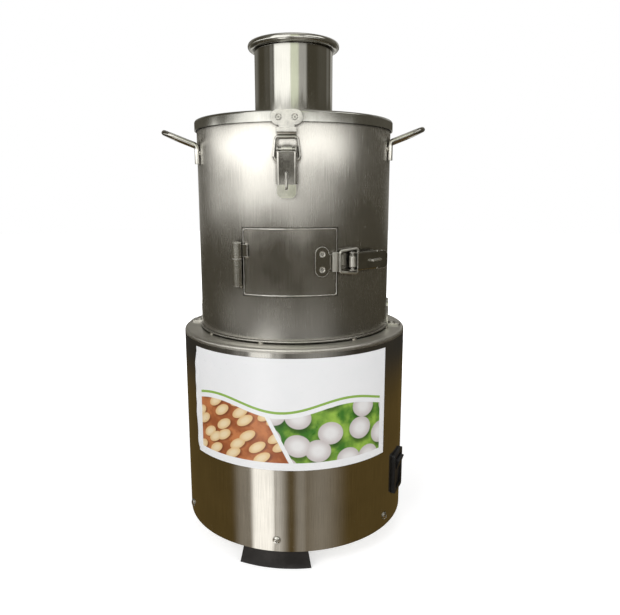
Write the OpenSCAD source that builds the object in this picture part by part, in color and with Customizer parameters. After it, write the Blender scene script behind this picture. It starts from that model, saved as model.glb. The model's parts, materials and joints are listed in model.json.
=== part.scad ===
// Garlic peeling machine: a round motor base carries a peeling barrel with a hinged lid,
// a feed tube, a side door for the peeled cloves and two over-centre draw latches.
// The machine stands on Z = 0, the barrel's axis is Z, and -Y is the front.
// Angles round the machine start at the front and grow towards +X.

/* [Base] */
// Outer diameter of the base shell
base_d = 250; // [236:1:290]
// Height of the base from the shell's lower edge to the deck
base_h = 213.5; // [205:0.5:250]
// Sheet thickness of the base shell
base_t = 1.2; // [0.8:0.1:2]
// Sheet thickness of the deck that the barrel stands on
deck_t = 1.5; // [1:0.1:2]
// Radius of the deck's pressed outer edge
deck_edge_r = 3; // [2.5:0.5:6]
// Depth of the deck's flange inside the shell
deck_flange_h = 14; // [8:1:24]
// Sheet thickness of the floor plate
floor_t = 1.5; // [1:0.1:2.5]
// Height of the floor plate's turned-up flange
floor_flange_h = 22; // [18:1:30]
// Number of vent slots in the floor plate
vent_n = 12; // [6:1:16]
// Length of a vent slot
vent_l = 26; // [14:1:30]
// Width of a vent slot
vent_w = 5; // [3:0.5:7]
// Inner end of the vent slots, from the axis
vent_r = 26; // [22:1:30]
// Number of screws that hold the floor plate in the shell
skirt_screw_n = 6; // [3:1:9]
// Angle of the first skirt screw
skirt_screw_a = -9; // [-30:1:30]
// Height of the skirt screws above the shell's lower edge
skirt_screw_z = 12.5; // [9:0.5:15]
// Thread diameter of the skirt screws
skirt_screw_d = 4; // [3:0.5:5]
// Length of the skirt screws under the head
skirt_screw_l = 8; // [6:1:14]

/* [Feet] */
// Number of rubber feet
foot_n = 3; // [3:1:4]
// Angle of the front foot's middle
foot_a = -10; // [-30:1:30]
// Length of a foot round the base in degrees
foot_span = 34.4; // [24:0.1:44]
// Height of a foot
foot_h = 18; // [14:1:30]
// Radial width of a foot at the floor
foot_w = 40; // [30:1:46]
// Reach of a foot beyond the base shell at the floor
foot_out = 2; // [0:0.5:4]
// Draft of a foot's sides in degrees
foot_draft = 9; // [2:1:12]
// Diameter of the pocket for the bolt head
foot_pocket_d = 20; // [16:1:26]
// Depth of the pocket for the bolt head
foot_pocket_h = 9; // [7:0.5:10]
// Thread diameter of the foot bolts
foot_bolt_d = 6; // [5:0.5:8]

/* [Barrel] */
// Outer diameter of the peeling barrel
barrel_d = 210; // [200:1:222]
// Height of the barrel above the deck
barrel_h = 218.7; // [210:0.1:250]
// Sheet thickness of the barrel
barrel_t = 1.2; // [0.8:0.1:2]
// Radius of the wired bead round the barrel's foot
hem_r = 1.6; // [1:0.1:2.4]
// Height of the barrel's floor above the deck
pan_z = 24; // [22:0.5:26]
// Sheet thickness of the barrel's floor
pan_t = 1.5; // [1:0.1:2.5]
// Depth of the flange and collar of the barrel's floor
pan_flange_h = 10; // [8:0.5:12]

/* [Door] */
// Angle of the door's hinge edge
door_left_a = -28.7; // [-36:0.1:-20]
// Angle of the door's latch edge
door_right_a = 23.4; // [18:0.1:26]
// Height of the door's lower edge above the deck
door_z = 47.5; // [46:0.5:60]
// Height of the door
door_h = 66; // [60:1:90]
// Sheet thickness of the door
door_t = 0.9; // [0.7:0.1:1]
// Width of the pressed rim round the door
door_hem_w = 1.4; // [1:0.1:3]
// Height of the pressed rim above the door's face
door_hem_t = 0.5; // [0.3:0.1:0.8]
// Gap round the door
door_gap = 0.9; // [0.6:0.1:1.5]
// Width of the stop frame behind the door
stop_w = 9; // [6:0.5:12]
// Overlap of the stop frame behind the door's edges
stop_lap = 5; // [3:0.5:6]
// Thickness of the stop frame
stop_t = 1.5; // [1:0.1:2]
// Diameter of the door hinge's barrels
door_hinge_d = 9; // [8:0.5:12]
// Diameter of the door hinge's pin
door_pin_d = 5; // [4:0.5:6]
// Height of the hinge's foot above the door's lower edge
door_hinge_z = 9; // [4:0.5:14]
// Length of the hinge's lower barrel, fixed to the wall
door_hinge_low = 27.3; // [24:0.1:34]
// Length of the hinge's upper barrel, fixed to the door
door_hinge_up = 16.3; // [14:0.1:24]

/* [Lid] */
// Sheet thickness of the lid
lid_t = 1.2; // [0.8:0.1:2]
// Gap between the barrel and the lid's rim
lid_gap = 1; // [0.8:0.1:2]
// Depth of the lid's rim
lid_rim_h = 10.4; // [9:0.1:14]
// Radius of the lid's outer edge
lid_edge_r = 2.4; // [2:0.1:4]
// Thickness of the lid's gasket
gasket_t = 2; // [1.5:0.1:3]
// Width of the lid's gasket
gasket_w = 5; // [3:0.5:8]
// Diameter of the lid hinge's barrels
lid_hinge_d = 7; // [6:0.5:9]
// Diameter of the lid hinge's pin
lid_pin_d = 4; // [3:0.5:4.5]
// Width of the lid hinge
lid_hinge_w = 44; // [36:1:60]
// Width of the lid hinge's middle barrel
lid_hinge_mid = 18; // [12:1:24]
// Sheet thickness of the hinge leaves
leaf_t = 1.5; // [1:0.1:2]
// Height of the leaf on the barrel
leaf_h = 26; // [18:1:34]

/* [Feed tube] */
// Outer diameter of the feed tube
tube_d = 83.6; // [70:0.1:96]
// Height of the feed tube above the lid
tube_h = 81.6; // [60:0.1:110]
// Sheet thickness of the feed tube
tube_t = 1; // [0.8:0.1:2]
// Radius of the rolled bead at the tube's mouth
bead_r = 4; // [2.4:0.1:5]
// Length of the tube below the lid's sheet
tube_below = 3; // [2:0.5:6]

/* [Draw latches] */
// Angle of the lid latch
lid_latch_a = -3.5; // [-10:0.5:10]
// Width over the lever's cheeks
lever_w = 18.5; // [17:0.5:22]
// Length of the lever from its pivot to the tip
lever_l = 45.2; // [43:0.1:52]
// Length of the lever's bent tip
lever_tip_l = 13.1; // [10:0.1:14]
// Outward bend of the lever's tip in degrees
lever_tip_a = 14; // [6:1:20]
// Sheet thickness of the latch parts
latch_t = 1.2; // [1:0.1:1.5]
// Diameter of the rolled barrel that holds the lever's pin
latch_barrel_d = 7; // [6.4:0.1:8]
// Width of the rolled barrel
latch_barrel_w = 10; // [8:0.5:12]
// Height of the rolled barrel above the plate's back
latch_stand = 1; // [0.6:0.1:2]
// Bend radius along the lever's edges
lever_bend_r = 2; // [1.4:0.1:3]
// Diameter of the lever's pin
lever_pin_d = 4; // [3:0.1:4.4]
// Clear height over the rolled barrel, inside the lever
lever_room = 0.4; // [0.3:0.1:1]
// Diameter of the bail wire
wire_d = 2.6; // [2:0.1:3]
// Distance from the lever's pin to the bail's pivot
bail_offset = 9; // [7.5:0.1:10]
// How far the bail's pivot lies behind the lever's pin
over_centre = 1; // [0.8:0.1:1.4]
// Distance from the lever's pin to the bail's bar, along the latch
bar_reach = 11.4; // [10.6:0.1:18]
// Width of the bail's bar between the wire centres
bail_bar_w = 20.4; // [20:0.1:23]
// Gap between the lever's cheeks and the bail's legs at their feet
bail_side_gap = 1.85; // [1.5:0.05:3]
// Bend radius of the bail's feet
bail_foot_r = 2.6; // [2:0.1:3]
// Bend radius of the bail's upper corners
bail_corner_r = 3; // [2.4:0.1:4]
// Width of the catch plates
catch_w = 29.5; // [26:0.5:34]
// Height of the catch plates
catch_h = 14; // [12:0.5:16]
// Distance between the two fixing holes of a catch plate
catch_pitch = 15; // [12:0.5:17]
// Width of the catch's hook
hook_w = 18.4; // [16:0.2:19]
// Width of the neck between a catch plate and its hook
hook_neck_w = 14.6; // [12:0.2:16]
// Reach of the hook from the middle of the catch plate
hook_reach = 16; // [14:0.1:18]
// Height of the hook's lip
hook_lip_h = 6.6; // [5:0.1:8]
// Length of the padlock eye
eye_l = 14.5; // [10:0.5:15]
// Start of the padlock eye, from the lever's pin
eye_y = 21; // [18:0.5:21.5]
// Height of the padlock eye above the plate's back
eye_h = 13.5; // [13.5:0.5:16]
// Thickness of the padlock eye
eye_t = 1.6; // [1.2:0.1:2]
// Diameter of the padlock eye's hole
eye_hole_d = 2.4; // [1.6:0.1:2.6]
// Shank diameter of the rivets
rivet_d = 3.2; // [2.4:0.1:4]
// Head diameter of the rivets
rivet_head_d = 6; // [5:0.1:7]
// Height of a domed rivet head
rivet_head_h = 1.8; // [1.2:0.1:2.2]
// Depth of the countersinks in the catch plates
sink_h = 0.9; // [0.6:0.1:1]
// Depth of the catch rivets' heads below the plates' faces
sink_drop = 0.4; // [0.1:0.1:0.5]
// Bore in the heads of the catch rivets
mandrel_d = 1.6; // [1:0.1:1.8]

/* [Handles] */
// Diameter of the handle rod
handle_d = 5.5; // [5:0.5:9]
// Distance between the two legs of a handle
handle_w = 76.6; // [66:0.1:90]
// Reach of the grip from the barrel's axis
handle_reach = 136; // [128:0.1:150]
// Height of the grip below the lid's top
handle_drop = 9; // [0:0.5:16]
// Height of the bend in the legs below the lid's top
handle_bend_drop = 23; // [18:0.5:40]
// Length of the straight foot of a leg
handle_foot_l = 18.5; // [10:0.5:24]
// How much lower the left handle sits than the right one
left_handle_low = 4; // [0:0.5:8]
// Bend radius at the grip
handle_bend_r = 14; // [10:0.5:20]
// Depth that the legs are notched over the wall
handle_notch = 0.5; // [0.3:0.1:1.2]

/* [Hold-down brackets] */
// Angle of the right-hand bracket
bracket_a = 84; // [70:1:100]
// Width of a bracket
bracket_w = 18; // [14:0.5:24]
// Height of a bracket on the barrel
bracket_h = 30; // [20:0.5:36]
// Length of a bracket on the deck
bracket_l = 15.5; // [14:0.5:16]
// Thickness of a bracket
bracket_t = 2; // [1.5:0.1:3]
// Thread diameter of the bracket bolts
bracket_bolt_d = 4; // [3:0.5:6]
// Distance of a bracket bolt from the barrel's wall
bracket_bolt_y = 6.5; // [6:0.1:13]

/* [Motor] */
// Outer diameter of the motor's can
motor_d = 116; // [100:1:124]
// Length of the motor's can
motor_l = 100; // [90:1:104]
// Wall of the motor's can
motor_t = 8; // [6:0.5:10]
// Bore of the stator
stator_bore = 62; // [56:1:66]
// Length of the stator's core
core_l = 64; // [50:1:70]
// Height of a winding head
winding_h = 10; // [8:0.5:12]
// Air gap between stator and rotor
air_gap = 0.5; // [0.4:0.1:0.8]
// Depth of the top end bell
bell_h = 24; // [22:0.5:28]
// Thickness of the top bell's flange
bell_flange_t = 8; // [6:0.5:9]
// Radius of the bolt circle in the top bell's flange
motor_bolt_r = 50; // [46:0.5:54]
// Thread diameter of the motor bolts
motor_bolt_d = 6; // [5:0.5:8]
// Depth of the bottom end bell
tail_h = 16; // [15:0.5:20]
// Diameter of the motor's shaft
shaft_d = 15; // [13:0.5:16]
// Outer diameter of the shaft bearings
bearing_d = 35; // [32:0.5:38]
// Width of the shaft bearings
bearing_w = 11; // [9:0.5:12]
// Depth of the fan's cowl below the bottom bell
cowl_h = 26; // [24:0.5:32]
// Number of fan blades
fan_n = 9; // [6:1:11]
// Diameter of the run capacitor
capacitor_d = 36; // [30:1:38]
// Length of the run capacitor
capacitor_l = 70; // [50:1:90]
// Angle of the run capacitor
capacitor_a = 160; // [150:1:170]

/* [Peeling rotor] */
// Gap between the rotor's disc and the barrel's wall
rotor_gap = 3.8; // [3:0.1:6]
// Thickness of the rotor's disc
rotor_t = 3; // [2:0.1:4]
// Height of the rotor's disc above the deck
rotor_z = 33; // [32:0.5:35]
// Number of raised ribs on the disc
rib_n = 6; // [4:1:8]
// Radius of a rib's round top
rib_r = 6; // [4:0.5:7]
// Inner end of the ribs, from the axis
rib_in = 34; // [30:1:40]
// Diameter of the rotor's hub
hub_d = 40; // [34:1:44]
// Diameter of the shaft's threaded end
stud_d = 10; // [8:0.5:12]

/* [Switch] */
// Angle of the switch on the base
switch_a = 65; // [58:0.5:70]
// Height of the switch's middle above the shell's lower edge
switch_z = 54; // [50:1:90]
// Width of the switch's bezel
bezel_w = 30; // [28:0.5:34]
// Height of the switch's bezel
bezel_h = 46; // [46:0.5:56]
// Stand-off of the bezel's face from the shell
bezel_out = 3; // [1.6:0.1:5]
// Corner radius of the bezel
bezel_r = 3; // [1:0.5:4]
// Width of the rocker
rocker_w = 19; // [16:0.5:20]
// Height of the rocker
rocker_h = 33; // [28:0.5:35]
// Tilt of the rocker to each side in degrees
rocker_tilt = 10; // [6:1:12]
// Depth of the switch's body behind the bezel's collar
switch_body_l = 24; // [18:1:30]

/* [Cord gland] */
// Height of the cord gland above the shell's lower edge
gland_z = 45; // [40:1:80]
// Bore of the cord gland
gland_bore = 8.5; // [6:0.1:10]
// Outer diameter of the gland's neck
gland_neck_d = 16; // [14:0.5:18]
// Diameter of the gland's flange
gland_flange_d = 23; // [20:0.5:28]
// Thickness of the gland's flange outside the shell
gland_out = 4; // [2:0.5:5]

/* [Label] */
// Angle of the label's left edge
label_left_a = -55; // [-60:0.5:-40]
// Angle of the label's right edge
label_right_a = 48; // [40:0.5:50]
// Height of the label's lower edge above the shell's lower edge
label_z = 89; // [86:0.5:100]
// Height of the label
label_h = 115; // [80:0.5:118]
// Thickness of the label's sheet
label_t = 0.3; // [0.2:0.05:0.5]
// Thickness of the glue film under the label
label_glue = 0.1; // [0.05:0.01:0.2]

/* [Fits] */
// Radial clearance of pins and shafts that turn
run_fit = 0.05; // [0.02:0.01:0.1]
// Clearance of fixed pieces that slide into place
slip_fit = 0.1; // [0.05:0.01:0.2]
// Clearance between moving pieces
move_gap = 0.3; // [0.2:0.05:0.6]

/* [Hidden] */
$fn = 128;

steel = "Silver";
bright_steel = "Gainsboro";
dark_steel = "DimGray";
cast = "SlateGray";
black = "#202020";
copper = "Chocolate";

// Levels and radii that follow from the sizes above
base_r = base_d / 2;
base_in_r = base_r - base_t;
deck_z = foot_h + base_h;
barrel_r = barrel_d / 2;
barrel_in_r = barrel_r - barrel_t;
barrel_top_z = deck_z + barrel_h;
seat_gap = 0.1;
lid_in_r = barrel_r + lid_gap;
lid_r = lid_in_r + lid_t;
lid_under_z = barrel_top_z + seat_gap + gasket_t;
lid_top_z = lid_under_z + lid_t;
rim_z = lid_top_z - lid_rim_h;
tube_r = tube_d / 2;
tube_in_r = tube_r - tube_t;
floor_r = base_in_r - slip_fit;
foot_out_r = base_r + foot_out;
foot_in_r = foot_out_r - foot_w;
foot_bolt_r = foot_out_r - foot_w / 2;

// Screw and nut proportions
function head_d(d) = 2 * d;
function head_h(d) = 0.65 * d;
function nut_d(d) = 1.9 * d;
function nut_h(d) = 0.8 * d;

// Door and its stop
door_low_z = deck_z + door_z;
door_mid_z = door_low_z + door_h / 2;
door_in_r = barrel_r - door_t;
door_gap_a = door_gap / barrel_r * 180 / PI;
stop_lap_a = stop_lap / barrel_r * 180 / PI;
stop_w_a = stop_w / barrel_r * 180 / PI;

// Door hinge: its axis stands just off the wall, beside the opening
door_hinge_axis_r = barrel_r + door_hinge_d / 2 + move_gap;
door_hinge_a = door_left_a - 2.1;
door_hinge_low_z = door_low_z + door_hinge_z;
door_hinge_up_z = door_hinge_low_z + door_hinge_low + move_gap;
door_arm_t = 2;
door_arm_a = 3.4;
door_arm_z = door_hinge_up_z + 1.5;
door_arm_h = door_hinge_up - 4;
door_hem_a = door_hem_w / barrel_r * 180 / PI;

// Draw latch, laid flat: X across, Y from the lever towards the catch, Z away from the wall
wire_r = wire_d / 2;
pivot_h = latch_stand + latch_barrel_d / 2;
lever_under = latch_stand + latch_barrel_d + lever_room;
lever_top = lever_under + latch_t;
lever_flat_l = lever_l - lever_tip_l;
lever_top_y = 2;
lever_tip_r = 6;
cheek_in = lever_w / 2 - latch_t;
cheek_low = 1.1;
bail_pivot = [-bail_offset, pivot_h - over_centre];
bail_leg_x = lever_w / 2 + bail_side_gap + wire_r;
plate_w = 2 * cheek_in - 2 * move_gap;
plate_mid = 25;
plate_end = lever_l - 2;
rivet_places = [-12, -(eye_y + eye_l + 4)];
hook_in_r = wire_r + 0.3;
hook_out_r = hook_in_r + latch_t;
hook_mid = hook_out_r;
hook_neck = hook_reach - hook_out_r;
bar_from_catch = hook_reach + move_gap + wire_r;
rivet_hole_d = rivet_d + 2 * slip_fit;
rivet_tail_h = 1;
sink_slope = (rivet_head_d - rivet_hole_d) / 2 / sink_h;

// Lid latch: the bar lies just below the hook
catch_z = lid_top_z - catch_h / 2 + 0.1;
lid_pivot_z = catch_z - bar_from_catch - bar_reach;
lid_bar = [bar_reach, lid_r - barrel_r + hook_mid];

// Door latch: the bar lies just past the door's edge, so that the door swings clear of it
bar_past_edge = 0.9;
door_bar_r = norm([bar_from_catch, barrel_r + hook_mid]);
door_bar_a = door_right_a + bar_past_edge / barrel_r * 180 / PI;
door_catch_a = door_bar_a - atan2(bar_from_catch, barrel_r + hook_mid);
door_latch_turn = asin((plate_mid + bar_reach) / door_bar_r);
door_latch_a = door_bar_a + door_latch_turn;
door_bar = [bar_reach, door_bar_r * cos(door_latch_turn) - barrel_r];
door_latch_z = door_mid_z + 0.5;

// Lid hinge at the back: its axis lies behind and below the rim
lid_hinge_y = lid_r + lid_hinge_d / 2 - 0.3;
lid_hinge_z = rim_z - 2.5;
leaf_side_w = (lid_hinge_w - lid_hinge_mid) / 2 - move_gap;
leaf_drop = 2;
leaf_half_a = asin(lid_hinge_w / 2 / (lid_r + leaf_t));

// Motor stack, from the deck down
bell_z = deck_z - deck_t;
can_top_z = bell_z - bell_h;
can_low_z = can_top_z - motor_l;
tail_z = can_low_z - tail_h;
cowl_z = tail_z - cowl_h;
motor_r = motor_d / 2;
can_in_r = motor_r - motor_t;
core_low_z = (can_top_z + can_low_z - core_l) / 2;
spigot_h = 4;
spigot_r = bearing_d / 2 + 8;
shaft_r = shaft_d / 2;
shaft_low_z = cowl_z + 5;
shaft_hole_r = shaft_r + 1;
bearing_top_z = bell_z - 9;
bearing_tail_z = can_low_z - 2;
cowl_t = 1.2;
cowl_lap = 8;
fan_z = cowl_z + 7;
fan_h = tail_z - 3 - fan_z;
fan_r = motor_r - 10;

// Peeling rotor
disc_z = deck_z + rotor_z;
disc_r = barrel_in_r - rotor_gap;
hub_h = disc_z - (deck_z + pan_z + pan_t) - 1.5;
shoulder_z = disc_z - hub_h + 3;
seal_r = bearing_d / 2;

// Switch, measured outwards from the axis
bezel_face = base_r + bezel_out;
collar_w = rocker_w + 6;
collar_h = rocker_h + 10;
collar_back = base_r - 14;
switch_hole_gap = 0.5;
rocker_out = 6.5;
rocker_pivot = bezel_face - rocker_out;
rocker_side_gap = 0.4;
rocker_end_gap = 1.7;
rocker_pin_d = 3;

// Terminal blades of the switch and the capacitor
blade_w = 6.3;
blade_t = 0.8;
blade_l = 8;

// Run capacitor, stood off from the floor plate's flange
capacitor_room = 16.2;
capacitor_r = floor_r - floor_t - capacitor_room - capacitor_d / 2;

// Bends of a rod are drawn a hair thicker than its runs, which end a little way inside them
bend_swell = 0.04;
bend_lap = 0.3;

// Direction of a vector
function unit(v) = v / norm(v);

module at(a, r = 0, z = 0) {
    rotate([0, 0, a]) translate([0, -r, z]) children();
}

module ring(r0, r1, h) {
    rotate_extrude() translate([r0, 0]) square([r1 - r0, h]);
}

module sector(r0, r1, h, a0, a1) {
    rotate([0, 0, a0 - 90]) rotate_extrude(angle = a1 - a0) translate([r0, 0]) square([r1 - r0, h]);
}

// Rectangle with round corners
module soft_rect(w, h, r) {
    square([w - 2 * r, h], center = true);
    square([w, h - 2 * r], center = true);
    for (x = [-1, 1], y = [-1, 1]) translate([x * (w / 2 - r), y * (h / 2 - r)]) circle(r);
}

// Plate that faces outwards, between two distances from the axis
module wall_plate(w, h, r, d0, d1) {
    translate([0, -d0, 0]) rotate([90, 0, 0]) linear_extrude(d1 - d0) soft_rect(w, h, r);
}

// Cylinder that points outwards, between two distances from the axis
module wall_rod(r, d0, d1) {
    translate([0, -d0, 0]) rotate([90, 0, 0]) cylinder(r = r, h = d1 - d0);
}

// Outline drawn as outward distance and height, stretched sideways
module profile_across(w) {
    rotate([90, 0, -90]) linear_extrude(w, center = true) children();
}

// Full-height cylinder that trims pieces to a round wall
module wall_core(r) {
    cylinder(r = r, h = 2 * lid_top_z);
}

// Straight piece of rod between two points
module rod_run(a, b, d) {
    along = unit(b - a);
    side = unit(cross(abs(along.z) < 0.9 ? [0, 0, 1] : [1, 0, 0], along));
    up = cross(along, side);
    multmatrix([
        [side.x, up.x, along.x, a.x],
        [side.y, up.y, along.y, a.y],
        [side.z, up.z, along.z, a.z],
        [0, 0, 0, 1]
    ]) cylinder(d = d, h = norm(b - a));
}

function turn_at(pts, i) = acos(unit(pts[i] - pts[i - 1]) * unit(pts[i + 1] - pts[i]));
function bend_cut(pts, radii, i) = radii[i - 1] * tan(turn_at(pts, i) / 2);
function run_cut(pts, radii, i) = i == 0 || i == len(pts) - 1 ? 0 : bend_cut(pts, radii, i) - bend_lap;

// Round bend of rod at one corner of a path
module rod_bend(pts, radii, i, d) {
    from = unit(pts[i] - pts[i - 1]);
    to = unit(pts[i + 1] - pts[i]);
    turn = turn_at(pts, i);
    axis = unit(cross(from, to));
    centre = pts[i] + unit(to - from) * radii[i - 1] / cos(turn / 2);
    out = unit(pts[i] - from * bend_cut(pts, radii, i) - centre);
    multmatrix([
        [out.x, from.x, axis.x, centre.x],
        [out.y, from.y, axis.y, centre.y],
        [out.z, from.z, axis.z, centre.z],
        [0, 0, 0, 1]
    ]) rotate_extrude(angle = turn) translate([radii[i - 1], 0]) circle(d = d + bend_swell);
}

// Bent rod along a path, with one bend radius for each inner corner
module bent_rod(pts, radii, d) {
    for (i = [1 : len(pts) - 1]) {
        along = unit(pts[i] - pts[i - 1]);
        rod_run(
            pts[i - 1] + along * run_cut(pts, radii, i - 1),
            pts[i] - along * run_cut(pts, radii, i),
            d
        );
    }
    for (i = [1 : len(pts) - 2]) rod_bend(pts, radii, i, d);
}

// Domed screw head with a short straight edge, on the XY plane
module dome_head(d, h) {
    edge = 0.35 * h;
    crown = h - edge;
    ball = (d * d / 4 + crown * crown) / (2 * crown);
    rotate_extrude() {
        square([d / 2, edge]);
        intersection() {
            translate([0, h - ball]) circle(ball);
            square([d / 2, h]);
        }
    }
}

// Domed screw: the shank runs down from the XY plane
module dome_screw(d, l) {
    difference() {
        dome_head(head_d(d), head_h(d));
        for (a = [0, 90]) {
            rotate([0, 0, a]) translate([0, 0, head_h(d)]) cube([0.9 * d, 0.22 * d, 0.7 * d], center = true);
        }
    }
    translate([0, 0, -l]) cylinder(d = d, h = l);
}

// Hexagon-headed bolt: the shank runs down from the XY plane
module hex_bolt(d, l) {
    cylinder(d = nut_d(d), h = head_h(d), $fn = 6);
    translate([0, 0, -l]) cylinder(d = d, h = l);
}

module hex_nut(d) {
    difference() {
        cylinder(d = nut_d(d), h = nut_h(d), $fn = 6);
        translate([0, 0, -1]) cylinder(d = d + 2 * slip_fit, h = nut_h(d) + 2);
    }
}

// Rivet through a sheet: the head is above the XY plane, the tail's seat below it
module rivet(seat) {
    dome_head(rivet_head_d, rivet_head_h);
    translate([0, 0, -seat - rivet_tail_h]) cylinder(d = rivet_d, h = seat + rivet_tail_h);
    translate([0, 0, -seat - rivet_tail_h]) cylinder(d = 0.8 * rivet_head_d, h = rivet_tail_h);
}

// Places round the machine
module at_skirt_screws() {
    for (i = [0 : skirt_screw_n - 1]) {
        at(skirt_screw_a + i * 360 / skirt_screw_n, 0, foot_h + skirt_screw_z) children();
    }
}

module at_feet() {
    for (i = [0 : foot_n - 1]) at(foot_a + i * 360 / foot_n) children();
}

module at_motor_bolts() {
    for (i = [0 : 3]) at(45 + i * 90, motor_bolt_r, deck_z) children();
}

module at_bracket_bolts() {
    for (a = [bracket_a, bracket_a - 180]) at(a, barrel_r + bracket_bolt_y, deck_z) children();
}

// Placing of the flat-drawn latch parts
module on_lid_latch() {
    at(lid_latch_a, barrel_r, lid_pivot_z) rotate([90, 0, 0]) children();
}

module on_door_latch() {
    at(door_latch_a, barrel_r, door_latch_z) rotate([90, 0, 0]) rotate([0, 0, 90])
        translate([0, plate_mid, 0]) children();
}

module on_lid_catch() {
    at(lid_latch_a, lid_r, catch_z) rotate([90, 0, 0]) rotate([0, 0, 180]) children();
}

module on_door_catch() {
    at(door_catch_a, barrel_r, door_latch_z) rotate([90, 0, 0]) rotate([0, 0, -90]) children();
}

module at_plate_rivets() {
    for (y = rivet_places) translate([0, y, 0]) children();
}

module at_catch_rivets() {
    for (x = [-1, 1]) translate([x * catch_pitch / 2, 0, 0]) children();
}

// Holes through the wall, wide enough for a curved sheet
module rivet_hole() {
    translate([0, 0, -8]) cylinder(d = rivet_hole_d, h = 16);
}

// Base

module base_shell() {
    color(steel) difference() {
        translate([0, 0, foot_h]) ring(base_in_r, base_r, base_h - deck_edge_r - deck_t);
        at_skirt_screws() wall_rod(skirt_screw_d / 2 + slip_fit, base_r - 10, base_r + 5);
        at(switch_a, 0, foot_h + switch_z)
            wall_plate(collar_w + switch_hole_gap, collar_h + switch_hole_gap, 1, base_r - 20, base_r + 5);
        at(180, 0, foot_h + gland_z) wall_rod(gland_neck_d / 2 + slip_fit, base_r - 10, base_r + 5);
    }
}

module deck_outline() {
    edge_x = base_r - deck_edge_r;
    edge_y = deck_z - deck_edge_r;
    translate([spigot_r + slip_fit, deck_z - deck_t]) square([edge_x - spigot_r - slip_fit, deck_t]);
    translate([edge_x, edge_y]) intersection() {
        difference() {
            circle(deck_edge_r);
            circle(deck_edge_r - deck_t);
        }
        square(deck_edge_r);
    }
    translate([base_in_r - deck_t, edge_y - deck_t]) square([base_t + deck_t, deck_t]);
    translate([base_in_r - slip_fit - deck_t, edge_y - deck_flange_h]) square([deck_t, deck_flange_h]);
}

module base_deck() {
    color(bright_steel) difference() {
        rotate_extrude() deck_outline();
        at_motor_bolts() translate([0, 0, -10]) cylinder(d = motor_bolt_d + 2 * slip_fit, h = 20);
        at_bracket_bolts() translate([0, 0, -10]) cylinder(d = bracket_bolt_d + 2 * slip_fit, h = 20);
    }
}

module vent_slot() {
    translate([0, -vent_l / 2]) square([vent_w, vent_l - vent_w], center = true);
    translate([0, -vent_w / 2]) circle(d = vent_w);
    translate([0, -vent_l + vent_w / 2]) circle(d = vent_w);
}

module base_floor() {
    color(steel) difference() {
        translate([0, 0, foot_h]) rotate_extrude() {
            square([floor_r, floor_t]);
            translate([floor_r - floor_t, 0]) square([floor_t, floor_flange_h]);
        }
        at_skirt_screws() wall_rod(skirt_screw_d / 2 + slip_fit, base_r - 10, base_r + 5);
        at_feet() translate([0, -foot_bolt_r, foot_h - 1])
            cylinder(d = foot_bolt_d + 2 * slip_fit, h = floor_t + 2);
        for (i = [0 : vent_n - 1]) {
            at(i * 360 / vent_n, vent_r, foot_h - 1) linear_extrude(floor_t + 2) vent_slot();
        }
    }
}

module skirt_screws() {
    color(bright_steel) at_skirt_screws() translate([0, -base_r, 0]) rotate([90, 0, 0])
        dome_screw(skirt_screw_d, skirt_screw_l);
}

// Solid that takes off all beyond one drafted end of a foot: side is 1 or -1
module foot_end(side) {
    cut = foot_w;
    at(side * foot_span / 2) rotate([0, -side * foot_draft, 0])
        translate([side > 0 ? 0 : -cut, -foot_out_r - 1, -foot_h]) cube([cut, foot_w + 2, 3 * foot_h]);
}

// Rubber block that follows the base's edge
module rubber_feet() {
    spare_a = 4;
    lean = foot_h * tan(foot_draft);
    half_a = foot_span / 2 + spare_a;
    color(black) at_feet() difference() {
        rotate([0, 0, -half_a - 90]) rotate_extrude(angle = 2 * half_a) polygon([
            [foot_in_r, 0],
            [foot_out_r, 0],
            [foot_out_r - lean, foot_h],
            [foot_in_r + lean, foot_h]
        ]);
        foot_end(1);
        foot_end(-1);
        translate([0, -foot_bolt_r, -1]) cylinder(d = foot_pocket_d, h = foot_pocket_h + 1);
        translate([0, -foot_bolt_r, 0]) cylinder(d = foot_bolt_d + 2 * slip_fit, h = 2 * foot_h);
    }
}

module foot_bolts() {
    bolt_l = foot_h - foot_pocket_h + floor_t + nut_h(foot_bolt_d) + 2;
    color(bright_steel) at_feet() translate([0, -foot_bolt_r, foot_pocket_h]) mirror([0, 0, 1])
        hex_bolt(foot_bolt_d, bolt_l);
}

module foot_nuts() {
    color(bright_steel) at_feet() translate([0, -foot_bolt_r, foot_h + floor_t]) hex_nut(foot_bolt_d);
}

module label_sheet() {
    back_r = base_r + label_glue;
    color("White") translate([0, 0, foot_h + label_z])
        sector(back_r, back_r + label_t, label_h, label_left_a, label_right_a);
}

// Switch and cord gland

module switch_bezel() {
    color(black) at(switch_a, 0, foot_h + switch_z) difference() {
        union() {
            difference() {
                wall_plate(bezel_w, bezel_h, bezel_r, base_r - 3, bezel_face);
                translate([0, 0, -bezel_h]) cylinder(r = base_r, h = 2 * bezel_h);
            }
            wall_plate(collar_w, collar_h, 1, collar_back, base_r + bezel_out / 2);
        }
        wall_plate(
            rocker_w + 2 * rocker_side_gap, rocker_h + 2 * rocker_end_gap, 0.6,
            collar_back - 1, bezel_face + 1
        );
        translate([0, -rocker_pivot, 0]) rotate([0, 90, 0])
            cylinder(d = rocker_pin_d + 2 * run_fit, h = rocker_w + 4, center = true);
    }
}

module switch_body() {
    color(black) at(switch_a, 0, foot_h + switch_z) {
        wall_plate(collar_w, collar_h, 1, collar_back - switch_body_l, collar_back);
        for (x = [-1, 1], z = [-1, 1]) {
            translate([x * collar_w / 4, -(collar_back - switch_body_l - blade_l / 2), z * collar_h / 4])
                cube([blade_t, blade_l, blade_w], center = true);
        }
    }
}

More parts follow.
